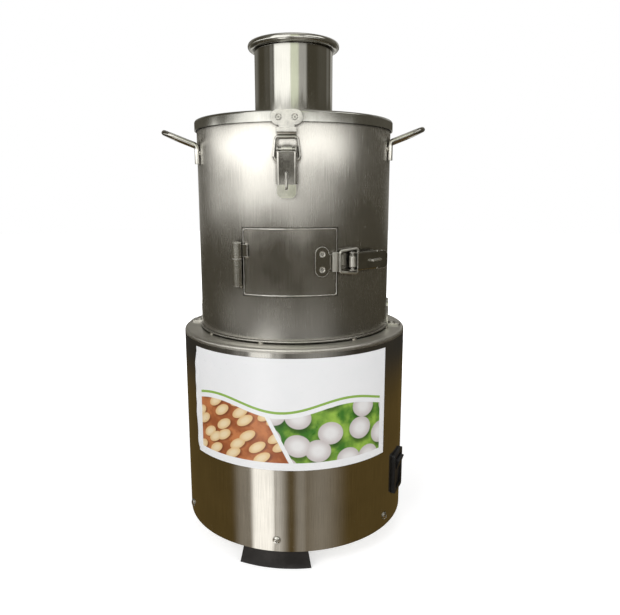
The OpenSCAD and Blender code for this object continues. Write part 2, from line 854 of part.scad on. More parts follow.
// The two faces of the rocker meet in a shallow valley over the pivot
module rocker() {
    half = rocker_h / 2;
    end_out = rocker_out + 0.8;
    valley_out = rocker_out - 1.5;
    keel_h = 6;
    color(black) at(switch_a, 0, foot_h + switch_z) translate([0, -rocker_pivot, 0]) {
        profile_across(rocker_w) rotate(-rocker_tilt) polygon([
            [3, -half], [end_out, -half], [valley_out, 0],
            [end_out, half], [3, half], [-3, keel_h], [-3, -keel_h]
        ]);
        rotate([0, 90, 0]) cylinder(d = rocker_pin_d, h = rocker_w + 3, center = true);
    }
}

module cord_gland() {
    color(black) at(180, 0, foot_h + gland_z) difference() {
        union() {
            difference() {
                wall_rod(gland_flange_d / 2, base_r - 3, base_r + gland_out);
                translate([0, 0, -gland_flange_d]) cylinder(r = base_r, h = 2 * gland_flange_d);
            }
            wall_rod(gland_neck_d / 2, base_r - 16, base_r + gland_out / 2);
        }
        wall_rod(gland_bore / 2, base_r - 20, base_r + gland_out + 1);
    }
}

module gland_nut() {
    nut_r = gland_neck_d * 0.8;
    face = sqrt(base_in_r * base_in_r - nut_r * nut_r);
    color(black) at(180, 0, foot_h + gland_z) difference() {
        translate([0, -face + 6, 0]) rotate([90, 0, 0]) cylinder(r = nut_r, h = 6, $fn = 6);
        wall_rod(gland_neck_d / 2 + slip_fit, base_r - 20, base_r);
    }
}

// Motor

module motor_can() {
    rib = 2.5;
    color(cast) translate([0, 0, can_low_z]) {
        ring(can_in_r, motor_r - rib, motor_l);
        for (i = [0 : 7]) translate([0, 0, i * (motor_l - rib) / 7]) ring(motor_r - rib - 1, motor_r, rib);
    }
}

module stator_core() {
    color(dark_steel) translate([0, 0, core_low_z]) ring(stator_bore / 2, can_in_r, core_l);
}

module stator_windings() {
    coil = winding_h / 2;
    mid = (stator_bore / 2 + can_in_r) / 2;
    color(copper) for (z = [core_low_z - coil, core_low_z + core_l + coil]) {
        translate([0, 0, z]) rotate_extrude() translate([mid, 0]) circle(coil);
    }
}

module motor_top_bell() {
    color(cast) difference() {
        union() {
            translate([0, 0, bell_z - bell_flange_t]) cylinder(r = motor_r + 4, h = bell_flange_t);
            translate([0, 0, can_top_z]) cylinder(r = motor_r, h = bell_h);
            translate([0, 0, bell_z - 1]) cylinder(r = spigot_r, h = deck_t + spigot_h + 1);
        }
        cylinder(r = shaft_hole_r, h = 2 * deck_z);
        translate([0, 0, can_top_z - 1]) cylinder(d = bearing_d, h = bearing_top_z - can_top_z + 1);
        translate([0, 0, can_top_z - 1]) ring(bearing_d / 2 + 6, can_in_r, bell_h - bell_flange_t - 1);
        at_motor_bolts() translate([0, 0, -30]) cylinder(d = motor_bolt_d + 2 * slip_fit, h = 40);
    }
}

module motor_bottom_bell() {
    color(cast) difference() {
        translate([0, 0, tail_z]) cylinder(r = motor_r, h = tail_h);
        cylinder(r = shaft_hole_r, h = 2 * deck_z);
        translate([0, 0, bearing_tail_z - bearing_w]) cylinder(d = bearing_d, h = tail_h);
        translate([0, 0, tail_z + 6]) ring(bearing_d / 2 + 6, can_in_r, tail_h);
    }
}

module motor_bearings() {
    color(bright_steel) for (z = [bearing_top_z, bearing_tail_z]) {
        translate([0, 0, z - bearing_w]) ring(shaft_r + run_fit, bearing_d / 2, bearing_w);
    }
}

module motor_bolts() {
    color(bright_steel) at_motor_bolts() hex_bolt(motor_bolt_d, deck_t + bell_flange_t + 4);
}

module fan_cowl() {
    cowl_r = motor_r + slip_fit;
    slot_n = 12;
    slot_in = 12;
    slot_l = 26;
    slot_w = 6;
    color(dark_steel) difference() {
        translate([0, 0, cowl_z]) {
            ring(cowl_r, cowl_r + cowl_t, cowl_h + cowl_lap);
            cylinder(r = cowl_r + cowl_t, h = cowl_t);
        }
        for (i = [0 : slot_n - 1]) {
            at(i * 360 / slot_n, slot_in, cowl_z - 1) linear_extrude(cowl_t + 2)
                translate([0, -slot_l / 2]) square([slot_w, slot_l], center = true);
        }
    }
}

module run_capacitor() {
    color("White") at(capacitor_a, capacitor_r, foot_h + floor_t) {
        cylinder(d = capacitor_d, h = capacitor_l);
        for (x = [-1, 1]) {
            translate([x * capacitor_d / 6, 0, capacitor_l + blade_l / 2])
                cube([blade_w, blade_t, blade_l], center = true);
        }
    }
}

module capacitor_clip() {
    clip_h = 16;
    clip_t = 1.5;
    ear_l = 11;
    ear_w = 12;
    clip_r = capacitor_d / 2;
    color(steel) at(capacitor_a, capacitor_r, foot_h + floor_t) {
        ring(clip_r + slip_fit, clip_r + clip_t, clip_h);
        for (a = [0, 180]) rotate([0, 0, a])
            translate([clip_r + 1, -ear_w / 2, 0]) cube([ear_l - 1, ear_w, clip_t]);
    }
}

module motor_shaft() {
    stud_l = hub_h - 3 + rotor_t + nut_h(stud_d) + 3;
    color(bright_steel) {
        translate([0, 0, shaft_low_z]) cylinder(r = shaft_r, h = shoulder_z - shaft_low_z);
        translate([0, 0, shoulder_z]) cylinder(d = stud_d, h = stud_l);
    }
}

module motor_rotor() {
    color(dark_steel) translate([0, 0, core_low_z]) ring(shaft_r, stator_bore / 2 - air_gap, core_l);
}

module motor_fan() {
    color(black) translate([0, 0, fan_z]) {
        ring(shaft_r, shaft_r + 6, fan_h);
        ring(shaft_r + 1, fan_r, 2);
        for (i = [0 : fan_n - 1]) {
            at(i * 360 / fan_n) translate([-1, -fan_r, 0]) cube([2, fan_r - shaft_r - 3, fan_h]);
        }
    }
}

// Peeling rotor

module rotor_hub() {
    color(bright_steel) difference() {
        translate([0, 0, disc_z - hub_h]) cylinder(d = hub_d, h = hub_h);
        translate([0, 0, disc_z - hub_h - 1]) cylinder(r = shaft_r, h = 4);
        cylinder(d = stud_d, h = 2 * disc_z);
    }
}

module peeling_disc() {
    rib_out = disc_r - rib_r - 3;
    color(steel) difference() {
        translate([0, 0, disc_z]) {
            cylinder(r = disc_r, h = rotor_t);
            intersection() {
                for (i = [0 : rib_n - 1]) at(i * 360 / rib_n, 0, rotor_t) {
                    translate([0, -rib_in, 0]) rotate([90, 0, 0]) cylinder(r = rib_r, h = rib_out - rib_in);
                    translate([0, -rib_in, 0]) sphere(rib_r);
                    translate([0, -rib_out, 0]) sphere(rib_r);
                }
                cylinder(r = disc_r, h = rotor_t + rib_r + 1);
            }
        }
        cylinder(d = stud_d, h = 2 * disc_z);
    }
}

module rotor_nut() {
    color(bright_steel) translate([0, 0, disc_z + rotor_t]) difference() {
        union() {
            cylinder(d = nut_d(stud_d), h = nut_h(stud_d), $fn = 6);
            translate([0, 0, nut_h(stud_d) - 1]) cylinder(d = 1.7 * stud_d, h = 4);
            translate([0, 0, nut_h(stud_d) + 3]) dome_head(1.7 * stud_d, 5);
        }
        translate([0, 0, -1]) cylinder(d = stud_d, h = nut_h(stud_d) + 5);
    }
}

// Barrel

module barrel_shell() {
    color(steel) difference() {
        translate([0, 0, deck_z]) rotate_extrude() {
            translate([barrel_in_r, 0]) square([barrel_t, barrel_h]);
            translate([barrel_r, hem_r]) circle(hem_r);
        }
        translate([0, 0, door_low_z - door_gap]) sector(
            barrel_in_r - 3, barrel_r + 3, door_h + 2 * door_gap,
            door_left_a - door_gap_a, door_right_a + door_gap_a
        );
        on_lid_latch() at_plate_rivets() rivet_hole();
        on_door_latch() at_plate_rivets() rivet_hole();
    }
}

module barrel_floor() {
    color(steel) translate([0, 0, deck_z + pan_z]) rotate_extrude() {
        translate([seal_r, 0]) square([barrel_in_r - seal_r, pan_t]);
        translate([seal_r, pan_t - pan_flange_h]) square([pan_t, pan_flange_h]);
        translate([barrel_in_r - pan_t, pan_t - pan_flange_h]) square([pan_t, pan_flange_h]);
    }
}

module shaft_seal() {
    color(black) translate([0, 0, deck_z + pan_z + pan_t - pan_flange_h])
        ring(shaft_r + run_fit, seal_r, pan_flange_h);
}

// Bent-rod handle on the right; its legs are notched over the wall and welded
module rod_handle(low) {
    leg_r = barrel_r + handle_d / 2 - handle_notch;
    leg_y = handle_w / 2;
    leg_x = sqrt(leg_r * leg_r - leg_y * leg_y);
    grip_z = lid_top_z - handle_drop - low;
    bend_z = lid_top_z - handle_bend_drop - low;
    color(bright_steel) difference() {
        bent_rod(
            [
                [leg_x, -leg_y, bend_z - handle_foot_l], [leg_x, -leg_y, bend_z],
                [handle_reach, -leg_y, grip_z], [handle_reach, leg_y, grip_z],
                [leg_x, leg_y, bend_z], [leg_x, leg_y, bend_z - handle_foot_l]
            ],
            [handle_d, handle_bend_r, handle_bend_r, handle_d],
            handle_d
        );
        wall_core(barrel_r);
    }
}

module right_handle() {
    rod_handle(0);
}

module left_handle() {
    mirror([1, 0, 0]) rod_handle(left_handle_low);
}

// Angle bracket that holds the barrel down on the deck
module hold_down(a) {
    foot_y = barrel_r + bracket_l;
    color(bright_steel) at(a, 0, deck_z) difference() {
        union() {
            translate([-bracket_w / 2, -barrel_r - bracket_t, 0])
                cube([bracket_w, bracket_t + 3, bracket_h - bracket_w / 2]);
            translate([0, -barrel_r + 3, bracket_h - bracket_w / 2]) rotate([90, 0, 0])
                cylinder(d = bracket_w, h = bracket_t + 3);
            translate([0, 0, bracket_t / 2]) linear_extrude(bracket_t, center = true)
                translate([0, -(barrel_r + foot_y - 3) / 2]) soft_rect(bracket_w, bracket_l + 3, 3);
        }
        translate([0, 0, -1]) cylinder(r = barrel_r, h = bracket_h + 2);
        rotate_extrude() translate([barrel_r, hem_r]) circle(hem_r);
        translate([0, -barrel_r - bracket_bolt_y, -1])
            cylinder(d = bracket_bolt_d + 2 * slip_fit, h = bracket_t + 2);
    }
}

module hold_down_brackets() {
    for (a = [bracket_a, bracket_a - 180]) hold_down(a);
}

module bracket_bolts() {
    color(bright_steel) at_bracket_bolts() translate([0, 0, bracket_t])
        dome_screw(bracket_bolt_d, bracket_t + deck_t + nut_h(bracket_bolt_d) + 2);
}

module bracket_nuts() {
    color(bright_steel) at_bracket_bolts() translate([0, 0, -deck_t - nut_h(bracket_bolt_d)])
        hex_nut(bracket_bolt_d);
}

// Door and its hinge

module door_stop_frame() {
    outer = stop_w - stop_lap;
    outer_a = stop_w_a - stop_lap_a;
    color(steel) difference() {
        translate([0, 0, door_low_z - outer]) sector(
            barrel_in_r - stop_t, barrel_in_r, door_h + 2 * outer,
            door_left_a - outer_a, door_right_a + outer_a
        );
        translate([0, 0, door_low_z + stop_lap]) sector(
            barrel_in_r - stop_t - 1, barrel_in_r + 1, door_h - 2 * stop_lap,
            door_left_a + stop_lap_a, door_right_a - stop_lap_a
        );
    }
}

// Door with a raised rim, which stops at the hinge's arm
module door_panel() {
    rim_r = barrel_r + door_hem_t;
    color(steel) difference() {
        translate([0, 0, door_low_z]) sector(door_in_r, rim_r, door_h, door_left_a, door_right_a);
        translate([0, 0, door_low_z + door_hem_w]) sector(
            barrel_r, rim_r + 1, door_h - 2 * door_hem_w, door_left_a + door_hem_a, door_right_a - door_hem_a
        );
        translate([0, 0, door_arm_z - move_gap]) sector(
            barrel_r, rim_r + 1, door_arm_h + 2 * move_gap, door_left_a - 1, door_left_a + door_hem_a + 1
        );
        on_door_catch() at_catch_rivets() rivet_hole();
    }
}

// Lower hinge barrel with the weld that fills the gap to the wall
module door_hinge_base() {
    weld_w = 4;
    color(bright_steel) difference() {
        union() {
            at(door_hinge_a, door_hinge_axis_r, door_hinge_low_z)
                cylinder(d = door_hinge_d, h = door_hinge_low);
            at(door_hinge_a, 0, door_hinge_low_z) translate([-door_hinge_d / 2, -door_hinge_axis_r, 0])
                cube([weld_w, door_hinge_d, door_hinge_low]);
        }
        wall_core(barrel_r);
        at(door_hinge_a, door_hinge_axis_r, door_hinge_low_z + 1)
            cylinder(d = door_pin_d, h = door_hinge_low);
    }
}

module door_hinge_pin() {
    color(dark_steel) at(door_hinge_a, door_hinge_axis_r, door_hinge_low_z + 1)
        cylinder(d = door_pin_d, h = door_hinge_low + door_hinge_up - 5);
}

// Upper hinge barrel with the arm that reaches over the gap to the door
module door_hinge_cap() {
    color(bright_steel) difference() {
        union() {
            at(door_hinge_a, door_hinge_axis_r, door_hinge_up_z) {
                cylinder(d = door_hinge_d, h = door_hinge_up - 1.5);
                translate([0, 0, door_hinge_up - 1.5]) dome_head(door_hinge_d, 1.5);
            }
            difference() {
                translate([0, 0, door_arm_z]) sector(
                    barrel_r, barrel_r + move_gap + door_arm_t, door_arm_h,
                    door_hinge_a, door_left_a + door_arm_a
                );
                translate([0, 0, door_arm_z - 1]) sector(
                    barrel_r - 1, barrel_r + move_gap, door_arm_h + 2,
                    door_hinge_a - 1, door_left_a + 0.1
                );
            }
        }
        at(door_hinge_a, door_hinge_axis_r, door_hinge_up_z - 1)
            cylinder(r = door_pin_d / 2 + run_fit, h = door_hinge_up - 2);
    }
}

// Draw latch pieces, drawn flat

// Curl and lip of the hook seen from the side, as Y and Z
module catch_hook_outline() {
    translate([hook_neck, hook_mid]) intersection() {
        difference() {
            circle(hook_out_r);
            circle(hook_in_r);
        }
        translate([0, -hook_out_r]) square([hook_out_r, 2 * hook_out_r]);
    }
    translate([hook_neck - hook_lip_h + hook_out_r, hook_mid + hook_in_r])
        square([hook_lip_h - hook_out_r, latch_t]);
}

// Oval plate with a neck that widens to the hook
module catch_plan() {
    flare = (hook_w - hook_neck_w) / 2;
    soft_rect(catch_w, catch_h, catch_h / 2 - 0.01);
    polygon([
        [-hook_neck_w / 2, 0], [hook_neck_w / 2, 0],
        [hook_neck_w / 2, hook_neck - 2 * flare], [hook_w / 2, hook_neck - flare], [hook_w / 2, hook_neck],
        [-hook_w / 2, hook_neck], [-hook_w / 2, hook_neck - flare], [-hook_neck_w / 2, hook_neck - 2 * flare]
    ]);
}

// Catch for the bail, with two countersunk holes
module catch_plate() {
    spare = 0.2;
    color(bright_steel) difference() {
        union() {
            linear_extrude(latch_t) catch_plan();
            rotate([90, 0, 90]) linear_extrude(hook_w, center = true) catch_hook_outline();
        }
        at_catch_rivets() translate([0, 0, -1]) cylinder(d = rivet_hole_d, h = latch_t + 2);
        at_catch_rivets() translate([0, 0, latch_t - sink_h]) cylinder(
            r1 = rivet_hole_d / 2, r2 = rivet_hole_d / 2 + (sink_h + spare) * sink_slope, h = sink_h + spare
        );
    }
}

// Blind rivet in a countersink: the plate's face is the XY plane, low is the shank's end,
// and the tail of the given radius starts at seat
module sunk_rivet(low, seat, tail_r) {
    shank_r = rivet_d / 2;
    bore_l = 1.2;
    rotate_extrude() polygon([
        [0, -low], [tail_r, -low], [tail_r, -seat], [shank_r, -seat], [shank_r, -sink_h],
        [shank_r + (sink_h - sink_drop) * sink_slope, -sink_drop], [mandrel_d / 2, -sink_drop],
        [mandrel_d / 2, -sink_drop - bore_l], [0, -sink_drop - bore_l]
    ]);
}

// Base plate with the rolled barrel for the pin and the padlock eye
module latch_plate() {
    web_l = latch_barrel_d / 2 - 0.4;
    eye_hole_z = (lever_top + eye_h) / 2;
    color(bright_steel) difference() {
        union() {
            translate([0, -plate_end / 2, 0]) linear_extrude(latch_t) soft_rect(plate_w, plate_end, 4);
            translate([-latch_barrel_w / 2, -web_l, latch_t / 2])
                cube([latch_barrel_w, web_l, pivot_h - latch_t / 2]);
            translate([0, 0, pivot_h]) rotate([0, 90, 0])
                cylinder(d = latch_barrel_d, h = latch_barrel_w, center = true);
            translate([0, -eye_y - eye_l / 2, 0]) rotate([90, 0, 90]) linear_extrude(eye_t, center = true)
                translate([0, eye_h / 2]) soft_rect(eye_l, eye_h, 1.5);
        }
        translate([0, 0, pivot_h]) rotate([0, 90, 0]) cylinder(d = lever_pin_d, h = lever_w, center = true);
        translate([0, -eye_y - eye_l / 2, eye_hole_z]) rotate([0, 90, 0])
            cylinder(d = eye_hole_d, h = 10, center = true);
        at_plate_rivets() rivet_hole();
    }
}

module lever_cheek_outline() {
    ear_r = latch_barrel_d / 2 + 0.1;
    translate([-lever_flat_l, cheek_low]) square([lever_flat_l - lever_top_y, lever_top - cheek_low]);
    translate([-lever_top_y - 1, cheek_low]) square([lever_top_y + 1, pivot_h - cheek_low]);
    intersection() {
        translate([0, pivot_h]) circle(ear_r);
        translate([-ear_r, cheek_low]) square([2 * ear_r, 2 * ear_r]);
    }
}

// Solid that rounds one long edge of the lever: side is 1 or -1
module lever_edge(side) {
    spare = 1;
    rotate([90, 0, 0]) linear_extrude(lever_flat_l - lever_top_y) difference() {
        translate([side > 0 ? lever_w / 2 - lever_bend_r : -lever_w / 2 - spare, lever_top - lever_bend_r])
            square(lever_bend_r + spare);
        translate([side * (lever_w / 2 - lever_bend_r), lever_top - lever_bend_r]) circle(lever_bend_r);
    }
}

// Lever: a channel with two cheeks on the pin and a bent tip for the finger
module latch_lever() {
    slot_room = 1.2;
    color(dark_steel) difference() {
        union() {
            for (x = [-1, 1]) {
                translate([x * (lever_w - latch_t) / 2, 0, 0]) rotate([90, 0, 90])
                    linear_extrude(latch_t, center = true) lever_cheek_outline();
            }
            intersection() {
                rotate([90, 0, 90]) linear_extrude(lever_w + 2, center = true) lever_side_outline();
                linear_extrude(lever_top + lever_tip_l) lever_plan_outline();
            }
        }
        translate([0, -lever_top_y + 0.1, 0]) {
            lever_edge(1);
            lever_edge(-1);
        }
        translate([0, 0, pivot_h]) rotate([0, 90, 0])
            cylinder(r = lever_pin_d / 2 + run_fit, h = lever_w + 2, center = true);
        translate([0, bail_pivot.x, bail_pivot.y]) rotate([0, 90, 0])
            cylinder(r = wire_r + run_fit, h = lever_w + 2, center = true);
        translate([-eye_t / 2 - move_gap, -eye_y - eye_l - slot_room, latch_t])
            cube([eye_t + 2 * move_gap, eye_l + slot_room + move_gap, eye_h]);
    }
}

// Bent sheet of the lever seen from the side, as Y and Z
module lever_side_outline() {
    tip_end = [-lever_flat_l - lever_tip_l * cos(lever_tip_a), lever_under + lever_tip_l * sin(lever_tip_a)];
    polygon([
        [-lever_top_y, lever_under],
        [-lever_flat_l, lever_under],
        tip_end,
        tip_end + latch_t * [sin(lever_tip_a), cos(lever_tip_a)],
        [-lever_flat_l + latch_t * tan(lever_tip_a / 2), lever_top],
        [-lever_top_y, lever_top]
    ]);
}

// Lever seen from above, with a round tip
module lever_plan_outline() {
    tip_y = -lever_flat_l - lever_tip_l * cos(lever_tip_a);
    translate([-lever_w / 2, tip_y + lever_tip_r]) square([lever_w, -tip_y - lever_tip_r - lever_top_y]);
    translate([-lever_w / 2 + lever_tip_r, tip_y]) square([lever_w - 2 * lever_tip_r, lever_tip_r + 1]);
    for (x = [-1, 1]) translate([x * (lever_w / 2 - lever_tip_r), tip_y + lever_tip_r]) circle(lever_tip_r);
}

// Wire bail: its feet turn in through the lever's cheeks, its bar lies at the hook
module latch_bail(bar) {
    foot_x = cheek_in - 1.2;
    y = bail_pivot.x;
    z = bail_pivot.y;
    color(bright_steel) bent_rod(
        [
            [-foot_x, y, z], [-bail_leg_x, y, z], [-bail_bar_w / 2, bar.x, bar.y],
            [bail_bar_w / 2, bar.x, bar.y], [bail_leg_x, y, z], [foot_x, y, z]
        ],
        [bail_foot_r, bail_corner_r, bail_corner_r, bail_foot_r],
        wire_d
    );
}

module lever_pin() {
    color(bright_steel) translate([0, 0, pivot_h]) rotate([0, 90, 0])
        cylinder(d = lever_pin_d, h = lever_w, center = true);
}

module door_catch() {
    on_door_catch() catch_plate();
}

module door_catch_rivets() {
    seat = latch_t + door_t + slip_fit;
    color(bright_steel) on_door_catch() at_catch_rivets() translate([0, 0, latch_t])
        sunk_rivet(seat + rivet_tail_h, seat, 0.4 * rivet_head_d);
}

module door_latch_plate() {
    on_door_latch() latch_plate();
}

module door_lever() {
    on_door_latch() latch_lever();
}

module door_bail() {
    on_door_latch() latch_bail(door_bar);
}

module lid_catch() {
    on_lid_catch() catch_plate();
}

// Short rivets: inside the rim they stay clear of the barrel
module lid_catch_rivets() {
    sag = lid_r - sqrt(lid_r * lid_r - catch_pitch * catch_pitch / 4);
    low = latch_t + sag + lid_t;
    color(bright_steel) on_lid_catch() at_catch_rivets() translate([0, 0, latch_t])
        sunk_rivet(low, low - 0.5, rivet_d / 2);
}

module lid_latch_plate() {
    on_lid_latch() latch_plate();
}

module lid_lever() {
    on_lid_latch() latch_lever();
}

module lid_bail() {
    on_lid_latch() latch_bail(lid_bar);
}

// Depth of the inner wall below a flat plate at a distance from its line of contact
function wall_depth(s) = barrel_r - sqrt(barrel_in_r * barrel_in_r - s * s);

module latch_rivets() {
    color(bright_steel) {
        on_lid_latch() at_plate_rivets() translate([0, 0, latch_t])
            rivet(latch_t + wall_depth(rivet_head_d / 2));
        for (y = rivet_places) on_door_latch() translate([0, y, latch_t])
            rivet(latch_t + wall_depth(abs(plate_mid + y) + rivet_head_d / 2));
    }
}

module lever_pins() {
    on_lid_latch() lever_pin();
    on_door_latch() lever_pin();
}

// Lid

module lid_outline() {
    edge_x = lid_r - lid_edge_r;
    edge_y = lid_top_z - lid_edge_r;
    translate([tube_r, lid_under_z]) square([edge_x - tube_r, lid_t]);
    translate([edge_x, edge_y]) intersection() {
        difference() {
            circle(lid_edge_r);
            circle(lid_edge_r - lid_t);
        }
        square(lid_edge_r);
    }
    translate([lid_in_r, rim_z]) square([lid_t, edge_y - rim_z]);
}

module lid_plate() {
    color(steel) difference() {
        rotate_extrude() lid_outline();
        on_lid_catch() at_catch_rivets() translate([0, 0, -5]) cylinder(d = rivet_hole_d, h = 10);
    }
}

module lid_gasket() {
    color("WhiteSmoke") translate([0, 0, lid_under_z - gasket_t])
        ring(barrel_r - gasket_w, barrel_r, gasket_t);
}

// Feed tube with a rolled bead round its mouth
module feed_tube() {
    low = lid_under_z - tube_below;
    color(bright_steel) rotate_extrude() {
        translate([tube_in_r, low]) square([tube_t, lid_top_z + tube_h - bead_r - low]);
        translate([tube_in_r + bead_r, lid_top_z + tube_h - bead_r]) circle(bead_r);
    }
}

module hinge_barrel() {
    translate([lid_hinge_y, lid_hinge_z]) circle(d = lid_hinge_d);
}

// Leaf on the barrel's wall, with the two outer hinge barrels
module barrel_hinge_leaf() {
    side_x = (lid_hinge_mid + leaf_side_w) / 2 + move_gap;
    color(bright_steel) difference() {
        union() {
            translate([0, 0, lid_hinge_z - leaf_drop - leaf_h]) sector(
                barrel_r - leaf_t, barrel_r + leaf_t, leaf_h, 180 - leaf_half_a, 180 + leaf_half_a
            );
            at(180) for (x = [-1, 1]) translate([x * side_x, 0, 0]) profile_across(leaf_side_w) {
                hinge_barrel();
                translate([barrel_r - 5, lid_hinge_z - 7]) square([lid_hinge_y - barrel_r + 5, 7]);
            }
        }
        wall_core(barrel_r);
        lid_hinge_bore(0);
    }
}

// Leaf on the lid's rim, with the middle hinge barrel
module lid_hinge_leaf() {
    color(bright_steel) difference() {
        union() {
            translate([0, 0, rim_z + leaf_drop]) sector(
                lid_r - leaf_t, lid_r + leaf_t, lid_rim_h - lid_edge_r - leaf_drop,
                180 - leaf_half_a, 180 + leaf_half_a
            );
            at(180) profile_across(lid_hinge_mid) {
                hinge_barrel();
                translate([lid_r - 2, lid_hinge_z]) square([lid_hinge_y - lid_r + 2, 6]);
            }
        }
        wall_core(lid_r);
        lid_hinge_bore(run_fit);
    }
}

module lid_hinge_bore(fit) {
    translate([0, lid_hinge_y, lid_hinge_z]) rotate([0, 90, 0])
        cylinder(r = lid_pin_d / 2 + fit, h = 2 * lid_hinge_w, center = true);
}

module lid_hinge_pin() {
    color(dark_steel) translate([0, lid_hinge_y, lid_hinge_z]) rotate([0, 90, 0])
        cylinder(d = lid_pin_d, h = lid_hinge_w + 2, center = true);
}

base_shell();
base_deck();
base_floor();
skirt_screws();
rubber_feet();
foot_bolts();
foot_nuts();
label_sheet();
switch_bezel();
switch_body();
rocker();
cord_gland();
gland_nut();
motor_can();
stator_core();
stator_windings();
motor_top_bell();
motor_bottom_bell();
motor_bearings();
motor_bolts();
fan_cowl();
run_capacitor();
capacitor_clip();
motor_shaft();
motor_rotor();
motor_fan();
rotor_hub();
peeling_disc();
rotor_nut();
barrel_shell();
barrel_floor();
shaft_seal();
left_handle();
right_handle();
hold_down_brackets();
bracket_bolts();
bracket_nuts();
door_stop_frame();
door_hinge_base();
door_hinge_pin();
door_panel();
door_hinge_cap();
door_catch();
door_catch_rivets();
door_latch_plate();
door_lever();
door_bail();
latch_rivets();
lever_pins();
lid_plate();
lid_gasket();
feed_tube();
lid_catch();
lid_catch_rivets();
lid_latch_plate();
lid_lever();
lid_bail();
barrel_hinge_leaf();
lid_hinge_leaf();
lid_hinge_pin();
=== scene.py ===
"""Looks of the garlic peeling machine: camera, studio, materials and small pieces that the solids leave out.

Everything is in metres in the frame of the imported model: the machine stands on z = 0 and its front is -y.
Angles round the machine start at the front and grow towards +x.
"""
import json
import math

import bpy
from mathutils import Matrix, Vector


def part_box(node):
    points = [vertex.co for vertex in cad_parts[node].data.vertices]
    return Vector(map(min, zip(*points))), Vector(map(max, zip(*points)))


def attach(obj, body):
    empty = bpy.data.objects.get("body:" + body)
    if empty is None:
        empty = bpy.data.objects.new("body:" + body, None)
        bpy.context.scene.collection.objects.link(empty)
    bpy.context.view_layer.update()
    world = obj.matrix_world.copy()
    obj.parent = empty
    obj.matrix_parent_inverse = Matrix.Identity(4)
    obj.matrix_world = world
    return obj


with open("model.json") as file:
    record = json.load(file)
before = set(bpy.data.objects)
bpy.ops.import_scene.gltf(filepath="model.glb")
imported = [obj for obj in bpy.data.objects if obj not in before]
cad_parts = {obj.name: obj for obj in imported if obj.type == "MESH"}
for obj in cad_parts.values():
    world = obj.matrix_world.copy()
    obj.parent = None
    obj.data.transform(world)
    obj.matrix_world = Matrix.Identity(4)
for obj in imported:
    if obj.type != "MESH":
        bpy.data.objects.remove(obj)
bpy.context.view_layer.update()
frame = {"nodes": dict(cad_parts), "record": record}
scene = bpy.context.scene
scene.view_settings.view_transform = "Standard"

MM = 0.001
DEGREES = 180 / math.pi

# Sizes read from the frame, with the thickness of the barrel's sheet and the rise of the label's face
BARREL_SHEET = 1.2 * MM
LABEL_FACE = 0.4 * MM
BASE_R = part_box("base_shell")[1].x
BARREL_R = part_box("barrel_floor")[1].x + BARREL_SHEET
BARREL_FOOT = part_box("barrel_shell")[0].z
door_low, door_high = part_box("door_panel")
label_low, label_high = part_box("label_sheet")
LABEL_LEFT = math.asin(label_low.x / (BASE_R + LABEL_FACE))
LABEL_RIGHT = math.asin(label_high.x / (BASE_R + LABEL_FACE))

# Sides of the door, in degrees round the machine
DOOR_LEFT = -28.7
DOOR_RIGHT = 23.4

# Camera, fitted to the outlines in the photograph
CAMERA_PLACE = Vector((0, -0.6705, 0.3748))
CAMERA_PITCH = math.radians(10.66)
CAMERA_YAW = math.radians(1.509)
CAMERA_LENS = 34.195
SENSOR = 36
CLIP_START = 0.01


def make_camera():
    data = bpy.data.cameras.new("camera")
    data.lens = CAMERA_LENS
    data.sensor_width = SENSOR
    data.clip_start = CLIP_START
    camera = bpy.data.objects.new("camera", data)
    scene.collection.objects.link(camera)
    ahead = Vector((
        math.sin(CAMERA_YAW) * math.cos(CAMERA_PITCH),
        math.cos(CAMERA_YAW) * math.cos(CAMERA_PITCH),
        -math.sin(CAMERA_PITCH),
    ))
    camera.location = CAMERA_PLACE
    camera.rotation_euler = ahead.to_track_quat("-Z", "Y").to_euler()
    scene.camera = camera


# Node helpers


def rgba(r, g, b):
    return (r, g, b, 1.0)


def shaded(colour, share):
    """Colour of a surface, darkened to a share of itself."""
    return rgba(*(share * c for c in colour))


# Colour and depth of the painted shade where parts meet (contact shadow), which also stands for grime
SHADE_AND_GRIME = rgba(0.05, 0.045, 0.035)
SHADE_AND_GRIME_START = 0.95
SHADE_AND_GRIME_FULL = 0.35


